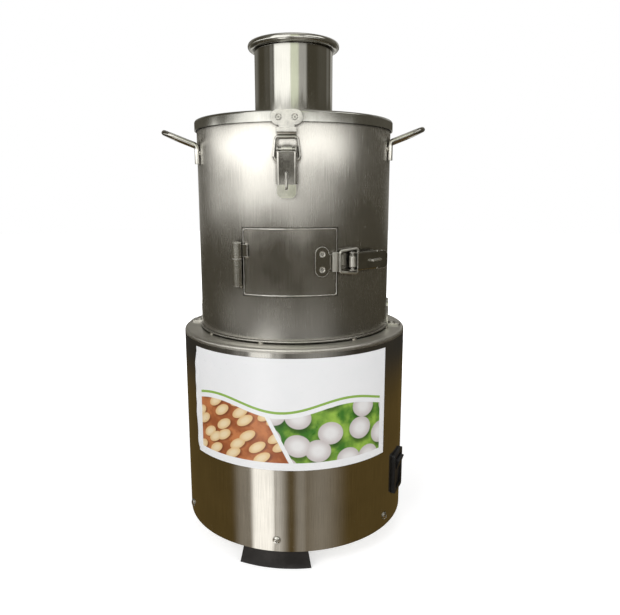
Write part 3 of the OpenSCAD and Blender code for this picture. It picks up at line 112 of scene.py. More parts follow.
class Tree:
    """Short names for the shader nodes that the materials use."""

    def __init__(self, owner):
        owner.use_nodes = True
        self.tree = owner.node_tree
        self.tree.nodes.clear()

    def node(self, kind, inputs=None, **settings):
        made = self.tree.nodes.new(kind)
        for name, value in settings.items():
            setattr(made, name, value)
        for name, value in (inputs or {}).items():
            self.set(made.inputs[name], value)
        return made

    def set(self, socket, value):
        if isinstance(value, bpy.types.NodeSocket):
            self.tree.links.new(value, socket)
        else:
            socket.default_value = value

    def math(self, operation, a, b=0.0):
        return self.node("ShaderNodeMath", {0: a, 1: b}, operation=operation).outputs[0]

    def add(self, a, b):
        return self.math("ADD", a, b)

    def sub(self, a, b):
        return self.math("SUBTRACT", a, b)

    def mul(self, a, b):
        return self.math("MULTIPLY", a, b)

    def most(self, a, b):
        return self.math("MAXIMUM", a, b)

    def size(self, a):
        return self.math("ABSOLUTE", a)

    def mix(self, share, a, b):
        made = self.node("ShaderNodeMix", data_type="RGBA")
        self.set(made.inputs["Factor"], share)
        self.set(made.inputs[6], a)
        self.set(made.inputs[7], b)
        return made.outputs[2]

    def span(self, value, low, high, to_low=0.0, to_high=1.0):
        """Value moved from one span to another along a smooth step."""
        made = self.node("ShaderNodeMapRange", interpolation_type="SMOOTHSTEP")
        for name, number in zip(("Value", "From Min", "From Max", "To Min", "To Max"),
                                (value, low, high, to_low, to_high)):
            self.set(made.inputs[name], number)
        return made.outputs["Result"]

    def noise(self, vector, scale, detail=3.0, rough=0.5):
        inputs = {"Vector": vector, "Scale": scale, "Detail": detail, "Roughness": rough}
        return self.node("ShaderNodeTexNoise", inputs).outputs["Fac"]

    def vector(self, x, y, z):
        return self.node("ShaderNodeCombineXYZ", {0: x, 1: y, 2: z}).outputs[0]

    def parts(self, vector):
        return self.node("ShaderNodeSeparateXYZ", {0: vector}).outputs

    def place(self):
        """Position on the object at rest, as one vector and as x, y and z."""
        coords = self.node("ShaderNodeTexCoord").outputs["Object"]
        return coords, self.parts(coords)

    def normal(self):
        return self.node("ShaderNodeNewGeometry").outputs["Normal"]

    def angle(self, xyz):
        """Angle round the machine from the front towards +x, in radians."""
        return self.math("ARCTAN2", xyz[0], self.mul(xyz[1], -1.0))

    def away(self, xyz):
        """Distance from the machine's axis."""
        return self.math("SQRT", self.add(self.math("POWER", xyz[0], 2.0), self.math("POWER", xyz[1], 2.0)))

    def shade_and_grime(self, colour, reach=5.0, depth=0.8, full=SHADE_AND_GRIME_FULL):
        """Colour darkened where parts meet, as far off as reach in millimetres: painted shade of contact
        shadows, which also stands for grime.

        full is the open share of the surroundings at which the painted shade has its whole depth.
        """
        inputs = {"Distance": reach * MM}
        open_share = self.node("ShaderNodeAmbientOcclusion", inputs, samples=8).outputs["AO"]
        # Darkens the colour where little of the surroundings is open: painted shade, which also stands for
        # grime
        return self.mix(self.span(open_share, SHADE_AND_GRIME_START, full, 0.0, depth), colour, SHADE_AND_GRIME)

    def bevel(self, radius, samples=4):
        """Normal with edges softened over a radius in millimetres."""
        return self.node("ShaderNodeBevel", {"Radius": radius * MM}, samples=samples).outputs[0]

    def bump(self, shader, height, strength, depth, soft_edge=0.0):
        """Gives the shader relief of a depth in millimetres. soft_edge is the radius of softened edges."""
        inputs = {"Height": height, "Strength": strength, "Distance": depth * MM}
        if soft_edge:
            inputs["Normal"] = self.bevel(soft_edge)
        self.set(shader.inputs["Normal"], self.node("ShaderNodeBump", inputs).outputs[0])

    def output(self, shader, kind="ShaderNodeOutputMaterial"):
        self.node(kind, {"Surface": shader})


# Meshes


def mesh_object(name, vertices, faces):
    mesh = bpy.data.meshes.new(name)
    mesh.from_pydata([tuple(v) for v in vertices], [], faces)
    mesh.update()
    mesh.polygons.foreach_set("use_smooth", [True] * len(mesh.polygons))
    made = bpy.data.objects.new(name, mesh)
    scene.collection.objects.link(made)
    return made


def lathe(name, profile, turns=96):
    """Surface of a profile of (radius, height) points turned about the machine's axis."""
    rows = len(profile)
    vertices, faces = [], []
    for i in range(turns):
        a = 2 * math.pi * i / turns
        vertices += [(r * math.sin(a), -r * math.cos(a), z) for r, z in profile]
        j = (i + 1) % turns
        faces += [(i * rows + k, j * rows + k, j * rows + k + 1, i * rows + k + 1) for k in range(rows - 1)]
    return mesh_object(name, vertices, faces)


def ring_faces(rings, ring, closed):
    """Faces between neighbouring rings of points, and between the last and the first where closed."""
    faces = []
    for i in range(rings if closed else rings - 1):
        j = (i + 1) % rings
        for k in range(ring):
            m = (k + 1) % ring
            faces.append((i * ring + k, i * ring + m, j * ring + m, j * ring + k))
    return faces


# Studio

FLOOR_R = 6.0
FLOOR_PAINT = rgba(0.75, 0.75, 0.75)
FLOOR_GLOW = 0.52
WORLD_LIGHT = 0.55
WHITE = rgba(1, 1, 1)

# Lamps: place, size and power. They light the machine but show in no reflection.
LAMP_AIM = Vector((0, 0, 0.27))
LAMPS = {
    "key": ((-1.1, -1.4, 1.5), 1.2, 16),
    "fill": ((1.4, -1.2, 0.9), 1.4, 7),
    "back": ((0.3, 1.6, 1.3), 1.2, 8),
}

# The room stands round the machine, and only reflections see it
ROOM_R = 1.1
ROOM_H = 1.7
ROOM_IN = BASE_R + 4 * MM
GROUND_Z = 2 * MM
DARK_WALL = rgba(0.069, 0.061, 0.043)
DARK_GROUND = rgba(0.100, 0.066, 0.021)
FAR_GROUND = rgba(0.036, 0.033, 0.028)
PALE = rgba(1.0, 0.99, 0.96)
LEAF_PALE = rgba(0.95, 1.0, 0.80)
PANEL_R = 0.45
PANEL_SOFT = 0.15
PANEL_LIGHT = 0.60
CEILING_LIGHT = 0.08
SWAY = 0.16

# Bright places of the wall: azimuth span in degrees, height span, softness of both, brightness and tint
WINDOWS = {
    "high_band": (-97, 55, 0.465, 0.542, 26, 0.02, 2.7, PALE),
    "high_front": (-60, -2, 0.52, 0.60, 22, 0.03, 1.60, PALE),
    "high_right": (-10, 26, 0.52, 0.60, 20, 0.03, 0.40, PALE),
    "middle_front": (-68, 6, 0.340, 0.50, 24, 0.012, 1.60, PALE),
    "middle_band": (-106, 40, 0.315, 0.48, 26, 0.03, 0.62, PALE),
    "low_band": (-86, 42, 0.00, 0.10, 16, 0.04, 0.21, PALE),
    "high_dim": (-150, 150, 0.40, 0.62, 20, 0.05, 0.03, PALE),
    "far_left": (-160, -126, 0.62, 1.8, 12, 0.03, 0.13, PALE),
    "left_wall": (-92, -74, 0.62, 1.8, 6, 0.03, 0.035, PALE),
    "window_frame": (-72, -61, 0.62, 1.8, 4, 0.03, 0.13, PALE),
    "right_wall": (74, 108, 0.62, 1.8, 10, 0.03, 0.025, PALE),
    "right_door": (110, 126, 0.62, 1.8, 6, 0.03, 0.10, PALE),
    "far_right": (137, 158, 0.62, 1.8, 8, 0.03, 0.38, PALE),
    "tall_window": (-57, -9, 0.62, 1.8, 3, 0.03, 1.30, PALE),
    "leafy_window": (-9, 14, 0.62, 1.8, 4, 0.03, 0.80, LEAF_PALE),
    "window_side": (14, 37, 0.62, 1.8, 4, 0.03, 0.40, PALE),
    "upper_right": (30, 84, 1.0, 1.55, 8, 0.06, 1.30, PALE),
    "back_low": (160, 200, 0.14, 0.29, 14, 0.05, 0.60, PALE),
    "back_middle": (142, 218, 0.27, 0.46, 24, 0.06, 0.34, PALE),
    "back_high": (160, 200, 1.0, 1.5, 12, 0.10, 0.70, PALE),
}
# Dark shape in front of the windows: the same spans and softness, and how much it hides
DARK_FIGURE = (-15, 1, 0.395, 0.518, 3, 0.012, 0.98)

# Bright strips of the ground: span in degrees of the base that mirrors them, softness and brightness.
# The near ones run out from the base, the far ones start where the ground grows darker, and the back ones
# are for the view from behind.
GROUND_LIGHT = {
    "strip": (-20.7, -10.2, 1.6, 1.35),
    "strip_left": (-29, -20.7, 3, 0.18),
    "strip_right": (-10.2, -6, 4, 0.70),
    "thin_band": (0, 5, 2, 0.22),
    "right_haze": (4, 19, 8, 0.17),
}
FAR_LIGHT = {
    "far_haze": (2, 16, 14, 0.42),
}
BACK_LIGHT = {
    "strip": (-9, -1.5, 1.6, 1.10),
    "haze": (-11, 11, 4, 0.24),
}
FAR_START, FAR_FULL = 0.40, 0.62
BROWN_END, GREY_START = 0.45, 0.9

# Slant of the view on the base, for the angle at which it mirrors a point of the ground
VIEW_SLANT = BASE_R / (-CAMERA_PLACE.y - BASE_R)
MIRROR_GUESS = 0.45
MIRROR_STEPS = 5


def seen_rays(tree):
    """1 for the rays that show the background: camera, reflection and transmission."""
    path = tree.node("ShaderNodeLightPath").outputs
    mirrored = tree.most(path["Is Glossy Ray"], path["Is Transmission Ray"])
    return tree.most(path["Is Camera Ray"], mirrored)


def make_world():
    """White where the background shows, and dimmer where it lights the machine."""
    world = bpy.data.worlds.new("studio")
    scene.world = world
    tree = Tree(world)
    strength = tree.add(WORLD_LIGHT, tree.mul(seen_rays(tree), 1 - WORLD_LIGHT))
    sky = tree.node("ShaderNodeBackground", {"Color": WHITE, "Strength": strength})
    tree.output(sky.outputs[0], "ShaderNodeOutputWorld")


def make_floor():
    """Round floor whose glow rises to white away from the machine, so that no horizon shows."""
    near, far = 0.2, 1.0
    floor = lathe("floor", [(0.0005, 0), (near, 0), (0.6, 0), (FLOOR_R, 0)])
    material = bpy.data.materials.new("floor")
    tree = Tree(material)
    _, xyz = tree.place()
    glow = tree.mul(seen_rays(tree), tree.span(tree.away(xyz), near, far, FLOOR_GLOW, 1.0))
    paint = tree.node("ShaderNodeBsdfDiffuse", {"Color": FLOOR_PAINT}).outputs[0]
    light = tree.node("ShaderNodeEmission", {"Color": WHITE, "Strength": glow}).outputs[0]
    tree.output(tree.node("ShaderNodeAddShader", {0: paint, 1: light}).outputs[0])
    floor.data.materials.append(material)


def around(tree, turn, first, last, soft):
    """1 between two azimuths in degrees, 0 away from them."""
    off = tree.sub(turn, (first + last) / 2)
    wrapped = tree.node("ShaderNodeMath", {0: off, 1: 180.0, 2: -180.0}, operation="WRAP").outputs[0]
    half = (last - first) / 2
    return tree.span(tree.size(wrapped), half + soft, half - soft)


def patch(tree, turn, height, first, last, low, high, soft, height_soft):
    """1 between two azimuths in degrees and two heights, 0 away from them."""
    rise = tree.span(height, low - height_soft, low + height_soft)
    fall = tree.span(height, high + height_soft, high - height_soft)
    return tree.mul(around(tree, turn, first, last, soft), tree.mul(rise, fall))


def lit(tree, dark, lights):
    """Dim surface with bright places: lights is a list of strength and tint."""
    shader = tree.node("ShaderNodeEmission", {"Color": dark, "Strength": 1.0}).outputs[0]
    for strength, tint in lights:
        glow = tree.node("ShaderNodeEmission", {"Color": tint, "Strength": strength}).outputs[0]
        shader = tree.node("ShaderNodeAddShader", {0: shader, 1: glow}).outputs[0]
    return shader


def wall_shader(tree):
    """Dim wall with windows of swaying height, partly hidden by one dark figure."""
    coords, xyz = tree.place()
    turn = tree.mul(tree.angle(xyz), DEGREES)
    *figure, depth = DARK_FIGURE
    clear = tree.sub(1.0, tree.mul(patch(tree, turn, xyz[2], *figure), depth))
    sway = tree.sub(tree.noise(coords, 3.2, 3, 0.55), 0.5)
    height = tree.add(xyz[2], tree.mul(sway, SWAY))
    lights = {}
    for *window, level, tint in WINDOWS.values():
        spot = tree.mul(patch(tree, turn, height, *window), level)
        lights[tint] = tree.most(lights.get(tint, 0.0), spot)
    return lit(tree, DARK_WALL, [(tree.mul(spot, clear), tint) for tint, spot in lights.items()])


def mirror_angle(tree, turn, away):
    """Angle on the base, in degrees, at which a view from the front shows a point of the ground mirrored."""
    found = tree.mul(turn, MIRROR_GUESS)
    for _ in range(MIRROR_STEPS):
        slant = tree.mul(tree.math("SINE", found), VIEW_SLANT)
        lean = tree.mul(tree.math("SINE", tree.add(found, slant)), BASE_R)
        swing = tree.math("ARCSINE", tree.math("DIVIDE", lean, away))
        found = tree.mul(tree.add(tree.sub(turn, slant), swing), 0.5)
    return tree.mul(found, DEGREES)


def ground_shader(tree):
    """Dark ground with light strips that the base mirrors as upright bands, in front and behind."""
    _, xyz = tree.place()
    away = tree.away(xyz)
    front = mirror_angle(tree, tree.angle(xyz), away)
    back = mirror_angle(tree, tree.math("ARCTAN2", tree.mul(xyz[0], -1.0), xyz[1]), away)
    far = tree.span(away, FAR_START, FAR_FULL)
    groups = (front, 1.0, GROUND_LIGHT), (front, far, FAR_LIGHT), (back, 1.0, BACK_LIGHT)
    light = 0.0
    for mirrored, share, strips in groups:
        for first, last, soft, level in strips.values():
            band = tree.mul(around(tree, mirrored, first, last, soft), level)
            light = tree.most(light, tree.mul(band, share))
    ground = tree.mix(tree.span(away, BROWN_END, GREY_START), DARK_GROUND, FAR_GROUND)
    return lit(tree, ground, [(light, PALE)])


def ceiling_shader(tree):
    """Dim ceiling with a round soft panel over the machine."""
    _, xyz = tree.place()
    panel = tree.span(tree.away(xyz), PANEL_R + PANEL_SOFT, PANEL_R - PANEL_SOFT, CEILING_LIGHT, PANEL_LIGHT)
    return lit(tree, DARK_WALL, [(panel, PALE)])


def room_object(name, profile, build):
    """Surface of the room that only reflections see; build gives its shader."""
    made = lathe(name, profile, turns=128)
    for ray in ("camera", "diffuse", "shadow", "transmission", "volume_scatter"):
        setattr(made, "visible_" + ray, False)
    material = bpy.data.materials.new(name)
    tree = Tree(material)
    tree.output(build(tree))
    made.data.materials.append(material)


def make_room():
    room_object("room_wall", [(ROOM_R, 0.0), (ROOM_R, ROOM_H)], wall_shader)
    room_object("room_ground", [(ROOM_IN, GROUND_Z), (ROOM_R, GROUND_Z)], ground_shader)
    room_object("room_ceiling", [(0.001, ROOM_H), (ROOM_R, ROOM_H)], ceiling_shader)


def make_lights():
    for name, (place, size, power) in LAMPS.items():
        data = bpy.data.lights.new(name, "AREA")
        data.size = size
        data.energy = power
        lamp = bpy.data.objects.new(name, data)
        lamp.location = place
        lamp.rotation_euler = (LAMP_AIM - Vector(place)).to_track_quat("-Z", "Y").to_euler()
        lamp.visible_glossy = False
        scene.collection.objects.link(lamp)


# Materials

STEEL = (0.74, 0.725, 0.685)
TRIM_STEEL = (0.82, 0.81, 0.77)
# Paler steel of the catch and latch parts: a painted highlight
PALE_STEEL = (0.94, 0.93, 0.88)
# Darker tint of what lies on the door: painted shade, as dark as the door's face looks
DOOR_SHADE_TINT = rgba(0.60, 0.585, 0.545)
# Pale tint of edge borders: worn metal, and a painted highlight along the edges
WORN_HIGHLIGHT_TINT = rgba(0.96, 0.95, 0.92)
RUBBED_ROUGH = 0.38
ON_DOOR_LOW, ON_DOOR_HIGH = 2.6 * MM, 3.6 * MM
ON_DOOR_SOFT = 0.4

# Grain, patches and waves of the sheets: the fineness of their noise, and the grain's length and depth
GRAIN_SCALE = 1.6
PATCH_SCALE = 22.0
WAVE_SCALE = 11.0
GRAIN_STRETCH = 18.0
GRAIN_DEPTH = 0.005

# Plain values of the metals and of the label, set on the shader's own sockets
METAL = {"Metallic": 1.0}
LABEL_GLOSS = {"Specular IOR Level": 0.45, "Coat Weight": 0.25, "Coat Roughness": 0.12}


def surface(name, constants):
    """New material with a Principled shader whose plain values are set on its own sockets."""
    material = bpy.data.materials.new(name)
    tree = Tree(material)
    shader = tree.node("ShaderNodeBsdfPrincipled", constants)
    tree.output(shader.outputs[0])
    return material, tree, shader


def brushed_steel(name, colour, rough, spread, wave, cloud, streak, turn=0.0, full=SHADE_AND_GRIME_FULL):
    """Sheet steel with an upright grain on walls, a straight one on flat faces, cloudy patches and waves.

    spread stretches its highlights round the wall, or up and down where turn is 0.25. wave is the depth of the
    waves. cloud and streak are how much the patches and the grain change its tone and roughness. full is the
    open share of the surroundings at which the painted shade where parts meet, which also stands for grime, is
    deepest.
    """
    material, tree, shader = surface(name, {**METAL, "Anisotropic": spread, "Anisotropic Rotation": turn})
    coords, xyz = tree.place()
    round_mm = tree.mul(tree.angle(xyz), BARREL_R / MM)
    wall = tree.vector(round_mm, 0.0, tree.mul(xyz[2], GRAIN_STRETCH))
    flat = tree.vector(tree.mul(xyz[0], GRAIN_STRETCH), tree.mul(xyz[1], 1 / MM), 0.0)
    level = tree.span(tree.size(tree.parts(tree.normal())[2]), 0.5, 0.8)
    lines = tree.add(tree.mul(tree.noise(flat, GRAIN_SCALE, 4), level),
                     tree.mul(tree.noise(wall, GRAIN_SCALE, 4), tree.sub(1.0, level)))
    smudge = tree.noise(coords, PATCH_SCALE, 4, 0.6)
    broad = tree.noise(coords, WAVE_SCALE, 3, 0.55)
    shade = tree.add(tree.mul(lines, streak), tree.mul(smudge, cloud))
    middle = (streak + cloud) / 2
    tone = tree.span(shade, 0.55 * middle, 1.45 * middle)
    tint = tree.mix(tone, shaded(colour, 0.76), rgba(*colour))
    # Base colour darkened where parts meet: painted shade (contact shadow), which also stands for grime
    tree.set(shader.inputs["Base Color"], tree.shade_and_grime(tint, full=full))
    tree.set(shader.inputs["Roughness"], tree.add(shade, rough - middle))
    tree.bump(shader, tree.add(tree.mul(lines, GRAIN_DEPTH), tree.mul(broad, wave)), 0.35, 1.0)
    tangent = tree.node("ShaderNodeTangent", direction_type="RADIAL", axis="Z")
    tree.set(shader.inputs["Tangent"], tangent.outputs[0])
    return material


def bright_metal(name, colour, rough, wear=0.10, scale=60.0, edge=0.0, door_side=0.0, shade_and_grime_depth=0.4):
    """Bright pressed or turned metal with fine wear and soft edges.

    wear is how much its patches change its roughness, and scale is how fine they are. edge is the width in
    millimetres of a paler, rougher border along its edges: worn metal, and a painted highlight. door_side
    darkens what lies on the door to a tint like the door's, a painted shade, and takes that much off its
    roughness. The last argument is the depth of the painted shade where parts meet, which also stands for
    grime.
    """
    material, tree, shader = surface(name, METAL)
    coords, xyz = tree.place()
    patches = tree.noise(coords, scale, 4, 0.6)
    fine = tree.noise(coords, 12 * scale, 2)
    tint = tree.mix(tree.span(patches, 0.35, 0.65), shaded(colour, 0.78), rgba(*colour))
    roughness = tree.add(tree.mul(patches, wear), tree.mul(fine, 0.5 * wear))
    roughness = tree.add(roughness, rough - 0.6 * wear)
    # Parts lying on the door are darkened to the door's tint: painted shade, with less roughness
    if door_side:
        inside = tree.span(tree.angle(xyz), math.radians(DOOR_LEFT - ON_DOOR_SOFT), math.radians(DOOR_LEFT))
        low = tree.span(tree.away(xyz), BARREL_R + ON_DOOR_HIGH, BARREL_R + ON_DOOR_LOW)
        on_door = tree.mul(inside, low)
        tint = tree.mix(on_door, tint, DOOR_SHADE_TINT)
        roughness = tree.sub(roughness, tree.mul(on_door, door_side))
    # Edge border, paler and rougher: worn metal, and a painted highlight where edges catch the light
    if edge:
        directions = {0: tree.bevel(edge, samples=6), 1: tree.normal()}
        lean = tree.node("ShaderNodeVectorMath", directions, operation="DOT_PRODUCT").outputs["Value"]
        worn_highlight = tree.span(lean, 0.985, 0.86)
        tint = tree.mix(worn_highlight, tint, WORN_HIGHLIGHT_TINT)
        roughness = tree.add(roughness, tree.mul(worn_highlight, RUBBED_ROUGH))
    # Base colour darkened where parts meet: painted shade, which also stands for grime
    tree.set(shader.inputs["Base Color"], tree.shade_and_grime(tint, 3.0, shade_and_grime_depth))
    tree.set(shader.inputs["Roughness"], roughness)
    tree.bump(shader, fine, 0.08, 0.1, soft_edge=0.45)
    return material


def weld_metal(name):
    """Cooled weld metal: bright ripples with a dull, slightly straw-coloured skin between them."""
    material, tree, shader = surface(name, METAL)
    coords, _ = tree.place()
    skin = tree.noise(coords, 420.0, 4, 0.6)
    tint = tree.mix(tree.span(skin, 0.35, 0.65), rgba(0.46, 0.42, 0.35), rgba(0.82, 0.80, 0.75))
    tree.set(shader.inputs["Base Color"], tint)
    tree.set(shader.inputs["Roughness"], tree.span(skin, 0.3, 0.7, 0.38, 0.20))
    tree.bump(shader, skin, 0.35, 0.3)
    return material


def moulded(name, colour, rough, grain=0.2, specular=0.4):
    """Moulded rubber or plastic with a fine pebbled skin."""
    material, tree, shader = surface(name, {"Specular IOR Level": specular})
    coords, _ = tree.place()
    dust = tree.noise(coords, 45.0, 4, 0.65)
    skin = tree.noise(coords, 1800.0, 2)
    pale = rgba(*(1.6 * c + 0.006 for c in colour))
    tree.set(shader.inputs["Base Color"], tree.mix(tree.span(dust, 0.4, 0.75), rgba(*colour), pale))
    tree.set(shader.inputs["Roughness"], tree.add(tree.mul(dust, 0.2), rough - 0.1))
    tree.bump(shader, skin, grain, 0.1, soft_edge=0.4)
    return material


# Print of the label, in millimetres from its lower left corner. The crest is the wavy top of its band, and the
# split, which leans, parts the two halves.
PRINT_MARGIN = 7.9
MARGIN_BLUR = 0.3
PRINT_BLUR = 0.4
CREST_HEIGHT = 60.0
CREST_SWING = 6.0
CREST_RATE = 0.045
LINE_ABOVE = 6.0
SPLIT_PLACE = 14.0
SPLIT_SHARE = 0.47
SPLIT_LEAN = 0.5
SPLIT_GAP = 2.3
LINE_HALF = 1.3
LOOSE_WIDTH = 16.0
LINE_GREEN = rgba(0.30, 0.50, 0.09)


def rounds(tree, across, up, long, short, size, tilt):
    """Rounded shapes in loose rows, spaced long by short millimetres: their mask, shading and shadow."""
    def cells(x, y):
        inputs = {"Vector": tree.vector(x, y, 0.0), "Scale": 1.0, "Randomness": 0.55}
        return tree.node("ShaderNodeTexVoronoi", inputs, voronoi_dimensions="2D").outputs["Distance"]

    x = tree.add(tree.mul(across, math.cos(tilt) / long), tree.mul(up, math.sin(tilt) / long))
    y = tree.sub(tree.mul(up, math.cos(tilt) / short), tree.mul(across, math.sin(tilt) / short))
    middle = cells(x, y)
    lower = cells(tree.sub(x, 0.06), tree.add(y, 0.14))
    mask = tree.span(middle, size + 0.015, size - 0.015)
    return mask, tree.span(middle, 0.25 * size, size), tree.span(lower, size + 0.10, size - 0.10, 0.0, 0.75)


def printed_label(name):
    """Glossy white sheet with a plain print: a line, and a band in terracotta and cream, green and white."""
    material, tree, shader = surface(name, LABEL_GLOSS)
    coords, xyz = tree.place()
    across = tree.sub(tree.mul(tree.angle(xyz), BASE_R / MM), LABEL_LEFT * BASE_R / MM)
    up = tree.mul(tree.sub(xyz[2], label_low.z), 1 / MM)
    wide = (LABEL_RIGHT - LABEL_LEFT) * BASE_R / MM
    fleck = tree.noise(coords, 240.0, 4, 0.6)
    soft = tree.noise(coords, 60.0, 3, 0.5)

    outer, inner = PRINT_MARGIN - MARGIN_BLUR, PRINT_MARGIN + MARGIN_BLUR
    inside = tree.mul(tree.span(across, outer, inner), tree.span(across, wide - outer, wide - inner))
    inside = tree.mul(inside, tree.span(up, outer, inner))
    swing = tree.mul(tree.math("SINE", tree.mul(across, CREST_RATE)), CREST_SWING)
    crest = tree.sub(tree.add(swing, CREST_HEIGHT), up)
    print_area = tree.mul(inside, tree.span(crest, -PRINT_BLUR, PRINT_BLUR))
    side = tree.sub(tree.add(across, tree.mul(up, SPLIT_LEAN)), SPLIT_SHARE * wide + SPLIT_PLACE)

    def half(shapes, ground, shadow, fill, speck, specks):
        """One side of the band: its ground, and on it the shapes with their shadows."""
        mask, shading, shade = shapes
        filled = tree.mix(tree.mul(fleck, specks), tree.mix(shading, *fill), speck)
        return tree.mix(mask, tree.mix(shade, ground, shadow), filled)

    clay = tree.mix(tree.span(soft, 0.35, 0.65), rgba(0.36, 0.10, 0.030), rgba(0.60, 0.21, 0.070))
    cream = rgba(0.92, 0.76, 0.50), rgba(0.80, 0.52, 0.22)
    ovals = rounds(tree, across, up, long=25.0, short=12.0, size=0.40, tilt=0.55)
    clay_print = half(ovals, clay, rgba(0.16, 0.035, 0.012), cream, rgba(0.90, 0.70, 0.42), 0.5)
    grass = tree.mix(tree.span(soft, 0.35, 0.7), rgba(0.05, 0.20, 0.018), rgba(0.36, 0.58, 0.075))
    pearl = rgba(0.90, 0.89, 0.88), rgba(0.62, 0.56, 0.55)
    balls = rounds(tree, across, up, long=31.0, short=27.0, size=0.43, tilt=-0.3)
    grass_print = half(balls, grass, rgba(0.020, 0.075, 0.010), pearl, rgba(0.85, 0.80, 0.76), 0.3)
    prints = tree.mix(tree.span(side, -PRINT_BLUR, PRINT_BLUR), clay_print, grass_print)

    gap = tree.span(tree.size(side), SPLIT_GAP - 0.3, SPLIT_GAP + 0.3)
    line = tree.span(tree.size(tree.add(crest, LINE_ABOVE)), LINE_HALF + 0.2, LINE_HALF - 0.2)
    paper = tree.mix(tree.span(soft, 0.3, 0.7), rgba(0.945, 0.95, 0.955), rgba(0.965, 0.965, 0.97))
    lined = tree.mix(tree.mul(line, inside), paper, LINE_GREEN)
    tree.set(shader.inputs["Base Color"], tree.mix(tree.mul(print_area, gap), lined, prints))
    tree.set(shader.inputs["Roughness"], tree.span(fleck, 0.2, 0.8, 0.26, 0.36))

    loose = tree.span(across, LOOSE_WIDTH, 1.0)
    folds = tree.vector(tree.mul(across, 0.22), tree.mul(up, 0.09), 0.0)
    creases = tree.mul(tree.noise(folds, 1.0, 3, 0.6), loose)
    tree.bump(shader, tree.add(tree.mul(creases, 1.4), tree.mul(soft, 0.05)), 0.6, 1.0)
    return material


SHEETS = {
    "stainless_sheet": dict(
        colour=STEEL, rough=0.25, spread=0.85, wave=0.45, cloud=0.14, streak=0.14, full=0.58),
    "base_sheet": dict(
        colour=STEEL, rough=0.15, spread=0.5, wave=0.04, cloud=0.05, streak=0.06, turn=0.25),
    "deck_sheet": dict(
        colour=(0.90, 0.885, 0.84), rough=0.40, spread=0.3, wave=0.08, cloud=0.10, streak=0.06),
    "lid_sheet": dict(
        colour=(0.70, 0.70, 0.66), rough=0.15, spread=0.6, wave=0.25, cloud=0.10, streak=0.08),
    "door_sheet": dict(
        colour=(0.69, 0.67, 0.625), rough=0.21, spread=0.6, wave=0.35, cloud=0.22, streak=0.12),
    "polished_steel": dict(
        colour=(0.80, 0.795, 0.75), rough=0.085, spread=0.2, wave=0.02, cloud=0.03, streak=0.04),
}
METALS = {
    "bright_steel": dict(colour=TRIM_STEEL, rough=0.16, edge=0.7),
    "handle_steel": dict(colour=(0.66, 0.65, 0.61), rough=0.11),
    # Levers: steel darker than the rest, painted shade for the dark reflections of their flat faces
    "lever_steel": dict(colour=(0.53, 0.52, 0.485), rough=0.11, edge=1.1, shade_and_grime_depth=0.15),
    # Hinge: steel paler than the rest, a painted highlight
    "hinge_steel": dict(
        colour=(0.86, 0.85, 0.79), rough=0.21, wear=0.06, scale=30.0, edge=1.2, door_side=0.10, shade_and_grime_depth=0.75),
    "catch_steel": dict(colour=PALE_STEEL, rough=0.38, wear=0.06, edge=1.4, door_side=0.26),
    "latch_steel": dict(colour=PALE_STEEL, rough=0.36, wear=0.14, edge=1.0),
    "rubbed_edge": dict(colour=(0.92, 0.91, 0.88), rough=0.28, wear=0.14, scale=160.0),
    "fasteners": dict(colour=TRIM_STEEL, rough=0.24, edge=0.8),
    "cast_alloy": dict(colour=(0.52, 0.53, 0.54), rough=0.48, wear=0.2, scale=120.0),
    "lamination_steel": dict(colour=(0.26, 0.26, 0.27), rough=0.45, wear=0.2),
    "copper_wire": dict(colour=(0.62, 0.30, 0.14), rough=0.35, wear=0.15, scale=200.0),
}
MOULDINGS = {
    "black_rubber": dict(colour=(0.018, 0.016, 0.015), rough=0.62, grain=0.35, specular=0.3),
    "black_plastic": dict(colour=(0.012, 0.012, 0.013), rough=0.42),
    "white_plastic": dict(colour=(0.78, 0.78, 0.75), rough=0.45),
    "white_silicone": dict(colour=(0.72, 0.71, 0.67), rough=0.55),
    "painted_cowl": dict(colour=(0.11, 0.115, 0.12), rough=0.45),
}

# Solids that are finished a little differently from the rest of their slot
FINISHES = {
    "base_shell": "base_sheet",
    "base_deck": "deck_sheet",
    "lid_plate": "lid_sheet",
    "door_panel": "door_sheet",
    "lid_lever": "lever_steel",
    "door_lever": "lever_steel",
    "door_hinge_base": "hinge_steel",
    "door_hinge_cap": "hinge_steel",
    "door_catch": "catch_steel",
    "door_latch_plate": "latch_steel",
    "door_bail": "latch_steel",
    "left_handle": "handle_steel",
    "right_handle": "handle_steel",
}


def make_materials():
    made = {"label_paper": printed_label("label_paper"), "weld_metal": weld_metal("weld_metal")}
    for build, rows in ((brushed_steel, SHEETS), (bright_metal, METALS), (moulded, MOULDINGS)):
        made.update({name: build(name, **values) for name, values in rows.items()})
    return made


def dress_nodes(materials):
    """Gives every solid the material of its slot in the record, or its own finish."""
    for part in frame["record"]["subparts"]:
        solid = frame["nodes"][part["node"]].data
        solid.materials.clear()
        solid.materials.append(materials[FINISHES.get(part["node"], part["material_slot"])])


# Small pieces that the solids leave out


def on_wall(angle, radius, height):
    """Point on a round wall: angle in degrees from the front, radius and height in metres."""
    a = math.radians(angle)
    return Vector((radius * math.sin(a), -radius * math.cos(a), height))


def wall_axes(before, place, after):
    """Directions at a place on a run along a round wall: across the run, and out of the wall."""
    along = (after - before).normalized()
    out = Vector((place.x, place.y, 0)).normalized()
    return along.cross(out).normalized(), out


def add_to_body(piece, material, body):
    piece.data.materials.append(material)
    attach(piece, body)


